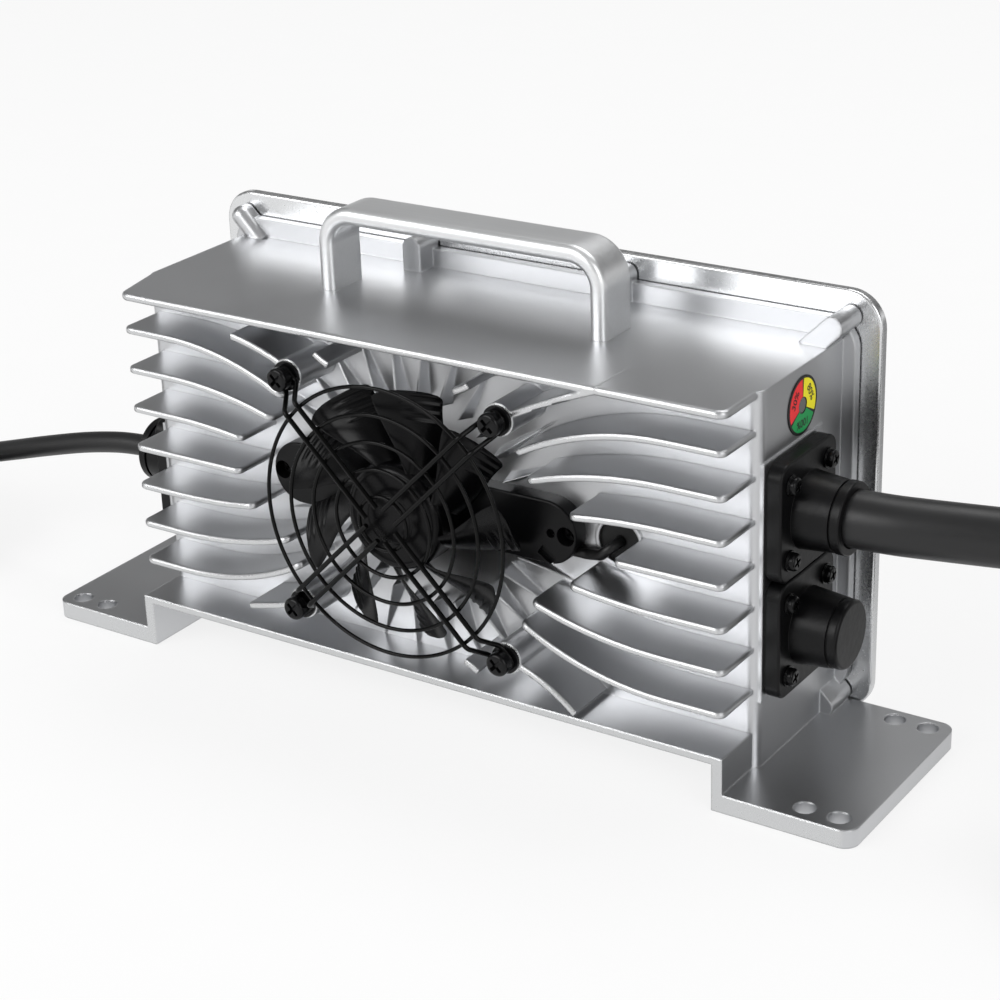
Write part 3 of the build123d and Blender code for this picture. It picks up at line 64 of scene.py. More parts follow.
def place(x: float, y: float, z: float) -> tuple[float, float, float]:
    """A point of the case, in millimetres from the fin fronts, as metres in the frame."""
    return x * MM, (y + FRAME_SHIFT) * MM, z * MM


class Value:
    """A shader socket that combines with numbers and other sockets through Math nodes."""

    def __init__(self, graph: "Graph", socket: bpy.types.NodeSocket):
        """Wrap a socket of a graph."""
        self.graph = graph
        self.socket = socket

    def _join(self, kind: str, first, second, clamp: bool = False) -> "Value":
        """Add one Math node of a kind."""
        settings = {"operation": kind, "use_clamp": clamp}
        return self.graph.node("Math", settings, {0: first, 1: second})

    def __add__(self, other) -> "Value":
        """Sum."""
        return self._join("ADD", self, other)

    __radd__ = __add__

    def __sub__(self, other) -> "Value":
        """Difference."""
        return self._join("SUBTRACT", self, other)

    def __rsub__(self, other) -> "Value":
        """Difference from a number."""
        return self._join("SUBTRACT", other, self)

    def __mul__(self, other) -> "Value":
        """Product."""
        return self._join("MULTIPLY", self, other)

    __rmul__ = __mul__

    def __truediv__(self, other) -> "Value":
        """Quotient."""
        return self._join("DIVIDE", self, other)

    def above(self, limit: float, soft: float) -> "Value":
        """A mask that runs from 0 to 1 over a soft width that starts at a limit."""
        scaled = (self - limit) / soft
        return self._join("ADD", scaled, 0.0, clamp=True)

    def clamped(self) -> "Value":
        """The value kept between 0 and 1."""
        return self._join("ADD", self, 0.0, clamp=True)


class Graph:
    """The node tree of one material or world."""

    def __init__(self, tree: bpy.types.NodeTree):
        """Start from an empty tree."""
        self.tree = tree
        tree.nodes.clear()

    def node(
        self,
        kind: str,
        settings: dict | None = None,
        inputs: dict | None = None,
        output: int | str = 0,
    ) -> Value:
        """Add a shader node.

        Args:
            kind: the node's type without its ShaderNode prefix.
            settings: properties, set before the inputs.
            inputs: numbers, tuples or values for its sockets, by name or position.
            output: the name or position of the output that is returned.
        Returns:
            The chosen output.
        """
        made = self.tree.nodes.new("ShaderNode" + kind)
        for name, value in (settings or {}).items():
            if name == "stops":
                self._set_stops(made.color_ramp, value)
            else:
                setattr(made, name, value)
        for name, value in (inputs or {}).items():
            if isinstance(value, Value):
                self.tree.links.new(value.socket, made.inputs[name])
            else:
                made.inputs[name].default_value = value
        return Value(self, made.outputs[output] if len(made.outputs) else None)

    @staticmethod
    def _set_stops(ramp: bpy.types.ColorRamp, stops: tuple) -> None:
        """Set a ramp's stops.

        Args:
            ramp: the colour ramp.
            stops: pairs of a position and a grey level or a colour.
        """
        while len(ramp.elements) > 1:
            ramp.elements.remove(ramp.elements[-1])
        for k, (position, shade) in enumerate(stops):
            element = ramp.elements[0] if k == 0 else ramp.elements.new(position)
            element.position = position
            colour = (shade,) * 3 if isinstance(shade, (int, float)) else shade
            element.color = (*colour[:3], 1.0)

    def mix(self, share, first, second) -> Value:
        """A colour between two others.

        Args:
            share: how much of the second, as a number or a value.
            first: the colour at share 0, as three numbers or a value.
            second: the colour at share 1.
        Returns:
            The mixed colour.
        """
        made = self.tree.nodes.new("ShaderNodeMix")
        made.data_type = "RGBA"
        # The colour mix has its factor at 0, its colours at 6 and 7, and its result at 2.
        sockets = {0: share, 6: first, 7: second}
        for k, value in sockets.items():
            if isinstance(value, Value):
                self.tree.links.new(value.socket, made.inputs[k])
            else:
                made.inputs[k].default_value = value if k == 0 else (*value[:3], 1.0)
        return Value(self, made.outputs[2])

    def spot(self, stretch: tuple[float, float, float] = (1.0, 1.0, 1.0)) -> Value:
        """The object's own coordinates in metres, stretched along each axis."""
        raw = self.node("TexCoord", output="Object")
        return self.node("Mapping", {"vector_type": "POINT"}, {"Vector": raw, "Scale": stretch})

    def axis(self, name: str) -> Value:
        """One of the object's own coordinates."""
        raw = self.node("TexCoord", output="Object")
        return self.node("SeparateXYZ", None, {0: raw}, output=name)

    def noise(self, where: Value, scale: float, detail: float = 3.0, rough: float = 0.5) -> Value:
        """A noise value between 0 and 1."""
        inputs = {"Vector": where, "Scale": scale, "Detail": detail, "Roughness": rough}
        return self.node("TexNoise", None, inputs, output=0)

    def bump(self, height: Value, distance: float, strength: float, edge_radius: float) -> Value:
        """A bumped normal from a height, over edges that look rounded.

        Args:
            height: the height between 0 and 1.
            distance: the height's full depth in metres.
            strength: how much of it shows.
            edge_radius: the rounding of the edges in metres.
        Returns:
            The normal.
        """
        soft = self.node("Bevel", {"samples": BEVEL_SAMPLES}, {"Radius": edge_radius})
        inputs = {"Height": height, "Distance": distance, "Strength": strength, "Normal": soft}
        return self.node("Bump", None, inputs)

    def finish(self, shader: Value) -> None:
        """Join a shader to the material's output."""
        self.node("OutputMaterial", None, {"Surface": shader})


def srgb(red: int, green: int, blue: int) -> tuple[float, float, float]:
    """A screen colour as linear light.

    Args:
        red: from 0 to 255, as are the others.
        green: the green part.
        blue: the blue part.
    Returns:
        The three parts from 0 to 1.
    """
    steps = np.array([red, green, blue]) / 255.0
    linear = np.where(steps <= 0.04045, steps / 12.92, ((steps + 0.055) / 1.055) ** 2.4)
    return tuple(float(v) for v in linear)


@dataclass(frozen=True)
class CastMetal:
    """Sand-blasted cast aluminium whose machined front edges are smoother and painted brighter as
    a highlight.
    """

    name: str = "cast_aluminium_blasted"
    colour: tuple[float, float, float] = srgb(202, 203, 205)
    # The colour of the painted highlight on the front edges.
    edge_highlight_colour: tuple[float, float, float] = srgb(206, 207, 208)
    roughness: float = 0.34
    grain: float = 0.00002
    grain_scale: float = 1500.0
    grain_strength: float = 0.5
    cloud_scale: float = 18.0
    dark_share: float = 0.93
    spread: float = 0.10
    edge_radius: float = 0.0010
    # The front edges: milled and smoother, and carrying the painted highlight.
    milled_highlight_y: float = FRAME_SHIFT * MM + 0.00005
    milled_highlight_depth: float = 0.0004
    milled_polish: float = 0.08

    def material(self) -> bpy.types.Material:
        """Build the material."""
        made = bpy.data.materials.new(self.name)
        made.use_nodes = True
        g = Graph(made.node_tree)
        where = g.spot()
        broad = g.noise(where, self.cloud_scale, 4.0, 0.55)
        fine = g.noise(where, self.grain_scale, 2.0, 0.6)
        # Mask of the front edges: smoother milled metal, with a painted highlight in the colour.
        milled_highlight = 1.0 - g.axis("Y").above(self.milled_highlight_y, self.milled_highlight_depth)
        shade = g.mix(broad, tuple(c * self.dark_share for c in self.colour), self.colour)
        # Painted highlight: the front edges take a brighter colour.
        colour = g.mix(milled_highlight, shade, self.edge_highlight_colour)
        rough = self.roughness + (broad - 0.5) * self.spread + (fine - 0.5) * self.spread
        rough = rough - milled_highlight * self.milled_polish
        normal = g.bump(fine, self.grain, self.grain_strength, self.edge_radius)
        inputs = {"Base Color": colour, "Metallic": 1.0, "Roughness": rough, "Normal": normal}
        g.finish(g.node("BsdfPrincipled", None, inputs))
        return made


@dataclass(frozen=True)
class BrushedMetal:
    """Metal with fine lines along one axis."""

    name: str
    colour: tuple[float, float, float]
    roughness: float = 0.26
    stretch: tuple[float, float, float] = (6.0, 900.0, 900.0)
    line_depth: float = 0.000002
    line_strength: float = 0.6
    line_spread: float = 0.16
    cloud_scale: float = 30.0
    cloud_spread: float = 0.08
    dark_share: float = 0.9
    edge_radius: float = 0.0004

    def material(self) -> bpy.types.Material:
        """Build the material."""
        made = bpy.data.materials.new(self.name)
        made.use_nodes = True
        g = Graph(made.node_tree)
        lines = g.noise(g.spot(self.stretch), 1.0, 3.0, 0.6)
        cloud = g.noise(g.spot(), self.cloud_scale, 2.0)
        colour = g.mix(lines, tuple(c * self.dark_share for c in self.colour), self.colour)
        rough = self.roughness + (lines - 0.5) * self.line_spread
        rough = rough + (cloud - 0.5) * self.cloud_spread
        normal = g.bump(lines, self.line_depth, self.line_strength, self.edge_radius)
        inputs = {"Base Color": colour, "Metallic": 1.0, "Roughness": rough, "Normal": normal}
        g.finish(g.node("BsdfPrincipled", None, inputs))
        return made


@dataclass(frozen=True)
class Moulded:
    """Plastic, rubber, paint or another coated surface with a fine grain and soft shine."""

    name: str
    colour: tuple[float, float, float]
    roughness: float = 0.4
    metallic: float = 0.0
    grain_scale: float = 1400.0
    grain: float = 0.00002
    grain_strength: float = 0.6
    cloud_scale: float = 60.0
    cloud_share: float = 0.6
    lighter_share: float = 1.25
    lighter_rise: float = 0.002
    spread: float = 0.12
    coat: float = 0.0
    shine: float = 0.35
    edge_radius: float = 0.0003

    def material(self) -> bpy.types.Material:
        """Build the material."""
        made = bpy.data.materials.new(self.name)
        made.use_nodes = True
        g = Graph(made.node_tree)
        where = g.spot()
        fine = g.noise(where, self.grain_scale, 2.0, 0.6)
        cloud = g.noise(where, self.cloud_scale, 3.0)
        lighter = tuple(min(1.0, c * self.lighter_share + self.lighter_rise) for c in self.colour)
        patches = cloud * self.cloud_share + fine * (1.0 - self.cloud_share)
        colour = g.mix(patches, self.colour, lighter)
        rough = self.roughness + (cloud - 0.5) * self.spread + (fine - 0.5) * self.spread
        normal = g.bump(fine, self.grain, self.grain_strength, self.edge_radius)
        inputs = {
            "Base Color": colour,
            "Metallic": self.metallic,
            "Roughness": rough,
            "Normal": normal,
            "Coat Weight": self.coat,
            "Specular IOR Level": self.shine,
        }
        g.finish(g.node("BsdfPrincipled", None, inputs))
        return made


class Finish(Enum):
    """The finishes that the charger's pieces use."""

    CAST = CastMetal()
    RIM = BrushedMetal("cover_aluminium", srgb(226, 227, 228), 0.26, (1200.0, 8.0, 1200.0))
    HANDLE = BrushedMetal("handle_aluminium", srgb(232, 233, 234), 0.41)
    STEEL = BrushedMetal("bright_steel", srgb(196, 196, 198), 0.24, (500.0, 500.0, 500.0))
    WIRE = Moulded(
        "black_painted_wire", srgb(2, 2, 2), 0.11, spread=0.04, grain=0.000002, shine=0.14
    )
    ZINC = Moulded("black_zinc", srgb(14, 14, 15), 0.22, metallic=0.5, spread=0.08, grain=0.000004)
    HOUSING_PLASTIC = Moulded(
        "satin_black_plastic", srgb(6, 6, 7), 0.36, grain=0.00008, grain_scale=480.0, shine=0.20
    )
    FAN_PLASTIC = Moulded(
        "satin_fan_plastic", srgb(3, 3, 4), 0.26, spread=0.05, grain=0.000002, shine=0.15
    )
    BRACKET = Moulded("black_moulded_bar", srgb(5, 5, 6), 0.34, grain=0.000006, shine=0.18)
    SHEATH = Moulded("cable_sheath", srgb(18, 18, 19), 0.42, grain_scale=900.0, shine=0.45)
    SLEEVE = Moulded("lead_sleeve", srgb(8, 8, 8), 0.40)
    RUBBER = Moulded("black_rubber", srgb(12, 12, 12), 0.60)
    GASKET = Moulded("grey_silicone", srgb(150, 150, 150), 0.55)
    MAGNET = Moulded("dark_magnet", srgb(70, 70, 72), 0.45, metallic=0.8)
    COPPER = Moulded("enamelled_copper", srgb(190, 106, 60), 0.30, metallic=0.9)
    LENS = Moulded("smoked_lens", srgb(86, 88, 86), 0.12, coat=0.6)
    BOARD = Moulded("green_board", srgb(22, 92, 48), 0.35)
    PAD = Moulded("grey_pad", srgb(140, 146, 150), 0.7)
    EPOXY = Moulded("black_epoxy", srgb(30, 30, 32), 0.45)
    CAN = Moulded("capacitor_sleeve", srgb(28, 36, 62), 0.30)
    FERRITE = Moulded("ferrite", srgb(62, 62, 64), 0.65)
    PLATED = Moulded("plated_contact", srgb(222, 196, 140), 0.25, metallic=1.0)
    CERAMIC = Moulded("fuse_ceramic", srgb(232, 230, 222), 0.35)
    FILM = Moulded("insulation_film", srgb(222, 222, 214), 0.5)
    PRINT_BLACK = Moulded("print_black", srgb(20, 20, 20), 0.35)
    PRINT_RED = Moulded("print_red", srgb(236, 36, 42), 0.35)
    PRINT_YELLOW = Moulded("print_yellow", srgb(252, 228, 16), 0.35)
    PRINT_GREEN = Moulded("print_green", srgb(12, 148, 76), 0.35)


class Paint:
    """Builds each finish once and puts it on pieces."""

    def __init__(self) -> None:
        """Start with no finish built."""
        self.built: dict[Finish, bpy.types.Material] = {}

    def coat(self, piece: bpy.types.Object, finish: Finish) -> bpy.types.Object:
        """Give a piece one finish.

        Args:
            piece: a mesh or curve object.
            finish: which finish.
        Returns:
            The same piece.
        """
        if finish not in self.built:
            self.built[finish] = finish.value.material()
        piece.data.materials.clear()
        piece.data.materials.append(self.built[finish])
        return piece


@dataclass
class Fittings:
    """The CAD nodes that are shown as they are, each with its finish."""

    nodes: dict[str, bpy.types.Object]
    paint: Paint
    finishes: dict[Finish, tuple[str, ...]] = field(default_factory=lambda: {
        Finish.CAST: ("heatsink_housing",),
        Finish.RIM: ("rear_cover",),
        Finish.HANDLE: ("handle",),
        Finish.STEEL: (
            "cover_screws", "handle_screws", "board_screws", "clamp_screws",
            "fan_shaft", "fan_bearings", "transistor_clamp_bar",
        ),
        Finish.ZINC: (
            "guard_screws", "guard_spring_washers", "guard_flat_washers",
            "fan_bracket_screws", "socket_screws",
        ),
        Finish.WIRE: ("fan_guard",),
        Finish.BRACKET: ("fan_bracket",),
        Finish.HOUSING_PLASTIC: (
            "output_socket", "output_gland_ring", "spare_socket", "spare_port_cap",
            "mains_socket", "mains_gland_ring", "output_plug", "mains_plug",
            "output_cable_tie", "mains_cable_tie",
        ),
        Finish.RUBBER: ("socket_gaskets", "fan_lead_grommet"),
        Finish.GASKET: ("cover_gasket",),
        Finish.SLEEVE: ("fan_lead",),
        Finish.MAGNET: ("fan_rotor_magnet",),
        Finish.COPPER: ("fan_stator", "transformer_winding", "input_choke", "output_choke"),
        Finish.LENS: ("indicator_lens",),
        Finish.BOARD: (
            "main_circuit_board", "fan_circuit_board", "indicator_board", "control_board",
        ),
        Finish.PAD: ("thermal_pads",),
        Finish.EPOXY: ("power_transistors", "output_relay"),
        Finish.CAN: ("bulk_capacitors",),
        Finish.FERRITE: ("transformer_core",),
        Finish.PLATED: ("output_plug_contacts", "mains_plug_pins"),
        Finish.CERAMIC: ("mains_fuse",),
        Finish.FILM: ("insulation_sheet",),
        Finish.PRINT_BLACK: ("indicator_label",),
    })

    def dress(self) -> None:
        """Give every shown node its finish."""
        for finish, names in self.finishes.items():
            for name in names:
                self.paint.coat(self.nodes[name], finish)
        log.info("dressed %d CAD nodes", sum(len(n) for n in self.finishes.values()))


def grid_mesh(name: str, points: np.ndarray, wrap: bool = False) -> bpy.types.Object:
    """A mesh from a grid of points.

    Args:
        name: the piece's name.
        points: an array of rows, columns and three coordinates, in metres.
        wrap: whether the last row joins the first.
    Returns:
        The new object, smooth shaded.
    """
    rows, columns = points.shape[:2]
    index = np.arange(rows * columns).reshape(rows, columns)
    upper = np.roll(index, -1, axis=0) if wrap else index[1:]
    lower = index if wrap else index[:-1]
    quads = np.stack([lower[:, :-1], lower[:, 1:], upper[:, 1:], upper[:, :-1]], axis=-1)
    mesh = bpy.data.meshes.new(name)
    mesh.from_pydata(points.reshape(-1, 3), [], quads.reshape(-1, 4).tolist())
    mesh.polygons.foreach_set("use_smooth", [True] * len(mesh.polygons))
    mesh.update()
    piece = bpy.data.objects.new(name, mesh)
    bpy.context.scene.collection.objects.link(piece)
    return piece


def close_mesh(piece: bpy.types.Object, smooth_angle: float) -> None:
    """Join a mesh's doubled points, fill its open ends, turn its faces out and smooth it.

    Args:
        piece: the mesh object.
        smooth_angle: edges sharper than this many degrees stay sharp.
    """
    work = bmesh.new()
    work.from_mesh(piece.data)
    bmesh.ops.remove_doubles(work, verts=work.verts, dist=DOUBLES_WITHIN)
    bmesh.ops.holes_fill(work, edges=work.edges, sides=0)
    bmesh.ops.recalc_face_normals(work, faces=work.faces)
    limit = math.radians(smooth_angle)
    for edge in work.edges:
        edge.smooth = not (len(edge.link_faces) == 2 and edge.calc_face_angle(0.0) > limit)
    for face in work.faces:
        face.smooth = True
    work.to_mesh(piece.data)
    work.free()
    piece.data.update()


def cord_curve(name: str, points: list, diameter: float) -> bpy.types.Object:
    """A round cord on one smooth spline.

    Args:
        name: the piece's name.
        points: the route in metres.
        diameter: the cord's thickness in metres.
    Returns:
        The new curve object.
    """
    data = bpy.data.curves.new(name, "CURVE")
    data.dimensions = "3D"
    data.bevel_depth = diameter / 2
    data.bevel_resolution = CORD_SECTION_STEPS
    data.resolution_u = CORD_ROUTE_STEPS
    data.use_fill_caps = True
    spline = data.splines.new("NURBS")
    spline.points.add(len(points) - 1)
    flat = np.ones((len(points), 4))
    flat[:, :3] = points
    spline.points.foreach_set("co", flat.ravel())
    spline.order_u = 3
    spline.use_endpoint_u = True
    piece = bpy.data.objects.new(name, data)
    bpy.context.scene.collection.objects.link(piece)
    return piece


@dataclass
class OutputCable:
    """The thick output cable: its seen length, the tied hank and the connector."""

    nodes: dict[str, bpy.types.Object]
    paint: Paint
    diameter: float = 18.3
    length: float = 1500.0
    exit_place: tuple[float, float, float] = (141.0, 40.3, 89.5)
    left_x: float = 270.0
    straight: float = 147.0
    middle_y: float = 35.0
    turn_radius: float = 54.85
    top_z: float = 46.5
    upper_z: float = 28.35
    lower_z: float = 10.35
    plug_x: float = 330.0
    plug_lead_in: float = 25.0
    plug_depth: float = 6.0
    turn_steps: int = 7
    route: tuple = (
        (124.0, 40.3, 89.5),
        (146.5, 40.3, 89.5),
        (168.0, 45.6, 89.2),
        (204.0, 57.0, 88.0),
        (256.0, 70.5, 79.5),
        (318.0, 82.5, 63.0),
        (375.0, 89.0, 50.5),
    )

    def half_turn(self, end_x: float, start: float, z0: float, z1: float) -> np.ndarray:
        """Points round one end: the circle's angle falls by half a turn as the height ramps.

        Args:
            end_x: the circle's middle along the hank.
            start: the first angle in degrees.
            z0: the height at the start.
            z1: the height at the end.
        Returns:
            One row for each point.
        """
        share = np.linspace(0.0, 1.0, self.turn_steps)
        angle = np.radians(start - 180.0 * share)
        x = end_x + self.turn_radius * np.cos(angle)
        y = self.middle_y + self.turn_radius * np.sin(angle)
        z = z0 + (z1 - z0) * share
        return np.stack([x, y, z], axis=1)

    def run(self, x0: float, x1: float, side: int, z: float) -> np.ndarray:
        """Two points inside a straight run of the hank.

        Args:
            x0: where the run starts.
            x1: where it ends.
            side: 1 for the rear run and -1 for the front one.
            z: its height.
        Returns:
            One row for each point.
        """
        x = x0 + (x1 - x0) * np.array([0.3, 0.7])
        y = np.full(2, self.middle_y + side * self.turn_radius)
        return np.stack([x, y, np.full(2, z)], axis=1)

    def points(self) -> list:
        """The whole route: the seen part, then two layers of the hank down to the connector."""
        right_x = self.left_x + self.straight
        parts = [np.array(self.route)]
        levels = ((self.top_z, self.upper_z), (self.upper_z, self.lower_z))
        for k, (high, low) in enumerate(levels):
            parts.append(self.half_turn(right_x, 90.0, high, low))
            parts.append(self.run(right_x, self.left_x, -1, low))
            parts.append(self.half_turn(self.left_x, -90.0, low, low))
            if k == 0:
                parts.append(self.run(self.left_x, right_x, 1, low))
        end_y = self.middle_y + self.turn_radius
        ends = (self.plug_x - self.plug_lead_in, self.plug_x + self.plug_depth)
        parts.append(np.array([[x, end_y, self.lower_z] for x in ends]))
        return [place(*p) for p in np.concatenate(parts)]

    def build(self) -> bpy.types.Object:
        piece = cord_curve("output_cable_sheath", self.points(), self.diameter * MM)
        self.paint.coat(piece, Finish.SHEATH)
        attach(piece, "case")
        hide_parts("output_cable", "output_cable_hank")
        log.info("output cable laid")
        return piece


@dataclass
class MainsCable:
    """The mains lead: its seen length, the tied coil and the plug."""

    nodes: dict[str, bpy.types.Object]
    paint: Paint
    diameter: float = 8.0
    length: float = 1800.0
    exit_place: tuple[float, float, float] = (-141.0, 40.3, 57.0)
    middle: tuple[float, float] = (-271.0, 4.0)
    inner_radius: float = 38.0
    outer_radius: float = 46.0
    levels: tuple[float, float, float] = (21.2, 13.2, 5.2)
    arrival_z: float = 29.0
    plug_z: float = 37.2
    turn_steps: int = 16
    first_angle: float = 90.0
    tail: tuple = ((-19.0, 42.5), (-33.0, 33.5), (-42.0, 24.0), (-42.0, 16.0))
    tail_rise: float = 3.5
    tail_drop: float = 5.0
    route: tuple = (
        (-124.0, 40.3, 57.0),
        (-150.0, 40.3, 57.0),
        (-173.0, 39.8, 53.4),
        (-197.0, 39.8, 47.0),
        (-221.0, 41.5, 39.5),
        (-246.0, 42.3, 32.2),
    )

    def turn(self, r0: float, r1: float, z0: float, z1: float, angles: np.ndarray) -> np.ndarray:
        """Points round the coil: radius and height ease over the first quarter of a turn.

        Args:
            r0: the radius at the start.
            r1: the radius after the quarter.
            z0: the height at the start.
            z1: the height after the quarter.
            angles: the angle of each point in degrees.
        Returns:
            One row for each point.
        """
        share = np.clip((angles - angles[0]) / 90.0, 0.0, 1.0)
        ease = share * share * (3 - 2 * share)
        radius = r0 + (r1 - r0) * ease
        turn = np.radians(angles)
        x = self.middle[0] + radius * np.cos(turn)
        y = self.middle[1] + radius * np.sin(turn)
        return np.stack([x, y, z0 + (z1 - z0) * ease], axis=1)

    def points(self) -> list:
        """The whole route: down the inner column, out, and up the outer one to the plug."""
        top, middle, low = self.levels
        inner, outer = self.inner_radius, self.outer_radius
        steps = [
            (inner, inner, self.arrival_z, top),
            (inner, inner, top, middle),
            (inner, inner, middle, low),
            (inner, outer, low, low),
            (outer, outer, low, middle),
            (outer, outer, middle, top),
        ]
        round_once = self.first_angle + np.arange(self.turn_steps) * 360.0 / self.turn_steps
        parts = [np.array(self.route)]
        parts += [self.turn(r0, r1, z0, z1, round_once) for r0, r1, z0, z1 in steps]
        x, y = self.middle
        heights = (top + self.tail_rise, self.plug_z - self.tail_drop, self.plug_z, self.plug_z)
        last = [[x, y + outer, top]]
        last += [[x + dx, y + dy, z] for (dx, dy), z in zip(self.tail, heights)]
        parts.append(np.array(last))
        return [place(*p) for p in np.concatenate(parts)]

    def build(self) -> bpy.types.Object:
        piece = cord_curve("mains_cable_sheath", self.points(), self.diameter * MM)
        self.paint.coat(piece, Finish.SHEATH)
        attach(piece, "case")
        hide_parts("mains_cable", "mains_cable_coil")
        log.info("mains lead laid")
        return piece


@dataclass
class Impeller:
    """The fan's hub and its sickle-shaped, twisted blades."""

    paint: Paint
    middle_x: float = -2.5
    middle_z: float = 75.0
    hub_radius: float = 18.5
    hub_front: float = -3.5
    hub_rear: float = 10.0
    hub_wall: float = 1.5
    hub_round: float = 3.8
    hub_rim_cut: float = 0.4
    boss_radius: float = 3.5
    groove: tuple = ((7.6, 0.0), (7.9, 0.25), (8.6, 0.25), (8.9, 0.0))
    corner_steps: int = 9
    turn_steps: int = 97
    tip_radius: float = 43.4
    root_inside: float = 0.8
    blade_front: float = -2.0
    blade_rear: float = 9.3
    blade_count: int = 9
    first_angle: float = 98.5
    root_sweep: float = 30.0
    tip_sweep: float = 28.0
    lean: float = 28.0
    bend_power: float = 0.75
    thickness: float = 1.3
    root_share: float = 1.15
    tip_thinning: float = 0.35
    tip_corner: float = 2.2
    ridge_pitch: float = 2.9
    ridge_rise: float = 0.55
    ridge_start: float = 33.5
    ridge_from: float = 0.35
    ridge_ramp: float = 0.12
    radius_steps: int = 76
    loop_steps: int = 41

    def hub(self) -> bpy.types.Object:
        """The hub cup: a closed profile of radius and depth carried round the axis."""
        outer, round_, front = self.hub_radius, self.hub_round, self.hub_front
        inner = outer - self.hub_wall
        bend = np.radians(np.linspace(0.0, 90.0, self.corner_steps))
        corner = np.stack(
            [outer - round_ + round_ * np.sin(bend), front + round_ - round_ * np.cos(bend)],
            axis=1,
        )
        ring = [[radius, front + sink] for radius, sink in self.groove]
        cut, back, floor = self.hub_rim_cut, self.hub_rear, front + self.hub_wall
        rear = [[outer, back - cut], [outer - cut, back], [inner, back]]
        inside = [[inner, floor], [self.boss_radius, floor], [0.0, floor]]
        profile = np.concatenate([[[0.0, front]], ring, corner, rear, inside])
        angle = np.linspace(0.0, 2 * math.pi, self.turn_steps)[:, None]
        radius, depth = profile[:, 0][None, :], profile[:, 1][None, :]
        x = self.middle_x + radius * np.cos(angle)
        z = self.middle_z + radius * np.sin(angle)
        y = np.broadcast_to(depth + FRAME_SHIFT, x.shape)
        piece = grid_mesh("impeller_hub", np.stack([x, y, z], axis=-1) * MM)
        close_mesh(piece, 30.0)
        return piece

    def blade(self, index: int) -> bpy.types.Object:
        """One blade: a loop round its section, carried from the hub to the tip.

        The section runs from the front edge back to the rear edge along an angle that
        grows with the depth to the power 0.75, and its half thickness falls to a
        rounded edge at both ends. The whole section falls back towards the hub by the
        lean times the square of what is left of the way to the tip. Ridges, waves in
        the radius, rise on the front face of the rear half near the tip.

        Args:
            index: which blade.
        Returns:
            The new piece.
        """
        share = np.linspace(0.0, 1.0, self.radius_steps)[:, None]
        length = self.tip_radius - self.hub_radius + self.root_inside
        radius = self.hub_radius - self.root_inside + length * share
        loop = np.linspace(0.0, 2 * math.pi, self.loop_steps)[None, :]
        along = (1 - np.cos(loop)) / 2
        side = np.sin(loop) * np.minimum(1.0, 1.6 * np.abs(np.sin(loop)) ** 0.2)
        beyond = np.clip(radius - (self.tip_radius - self.tip_corner), 0.0, self.tip_corner)
        cut = self.tip_corner - np.sqrt(self.tip_corner**2 - beyond**2)
        depth = self.blade_front + cut + (self.blade_rear - self.blade_front - 2 * cut) * along
        run = (depth - self.blade_front) / (self.blade_rear - self.blade_front)
        sweep = self.root_sweep + (self.tip_sweep - self.root_sweep) * share
        angle = self.first_angle + 360.0 / self.blade_count * index
        angle = angle - self.lean * (1 - share) ** 2
        angle = np.radians(angle - sweep * np.clip(run, 0.0, 1.0) ** self.bend_power)
        slope = np.arctan2(self.blade_rear - self.blade_front, radius * np.radians(sweep))
        half = self.thickness / 2 * side * (self.root_share - self.tip_thinning * share)
        cycle = 2 * math.pi * (radius - self.ridge_start) / self.ridge_pitch
        wave = np.clip(np.sin(cycle), 0.0, 1.0) ** 0.6
        fade = np.clip((run - self.ridge_from) / self.ridge_ramp, 0.0, 1.0)
        wave = wave * (radius > self.ridge_start) * fade
        half = half - self.ridge_rise * wave * (side < -0.2)
        turn = angle + half * np.sin(slope) / radius
        x = self.middle_x + radius * np.cos(turn)
        z = self.middle_z + radius * np.sin(turn)
        y = np.clip(depth + half * np.cos(slope), self.blade_front, self.blade_rear) + FRAME_SHIFT
        piece = grid_mesh(f"impeller_blade_{index}", np.stack([x, y, z], axis=-1) * MM)
        close_mesh(piece, 60.0)
        return piece

    def build(self) -> None:
        """Make the hub and the blades in place of the CAD impeller."""
        made = [self.hub()] + [self.blade(k) for k in range(self.blade_count)]
        for piece in made:
            self.paint.coat(piece, Finish.FAN_PLASTIC)
            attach(piece, "rotor")
        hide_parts("fan_impeller")
        log.info("impeller with %d blades", self.blade_count)


def backdrop_rays(g: Graph) -> Value:
    """A mask of the rays that see the backdrop.

    Args:
        g: the graph that gets the nodes.
    Returns:
        1 for a ray from the camera, a reflection or a lens, and 0 for the others.
    """
    names = ("Is Camera Ray", "Is Glossy Ray", "Is Transmission Ray")
    camera, glossy, through = (g.node("LightPath", output=name) for name in names)
    return (camera + glossy + through).clamped()


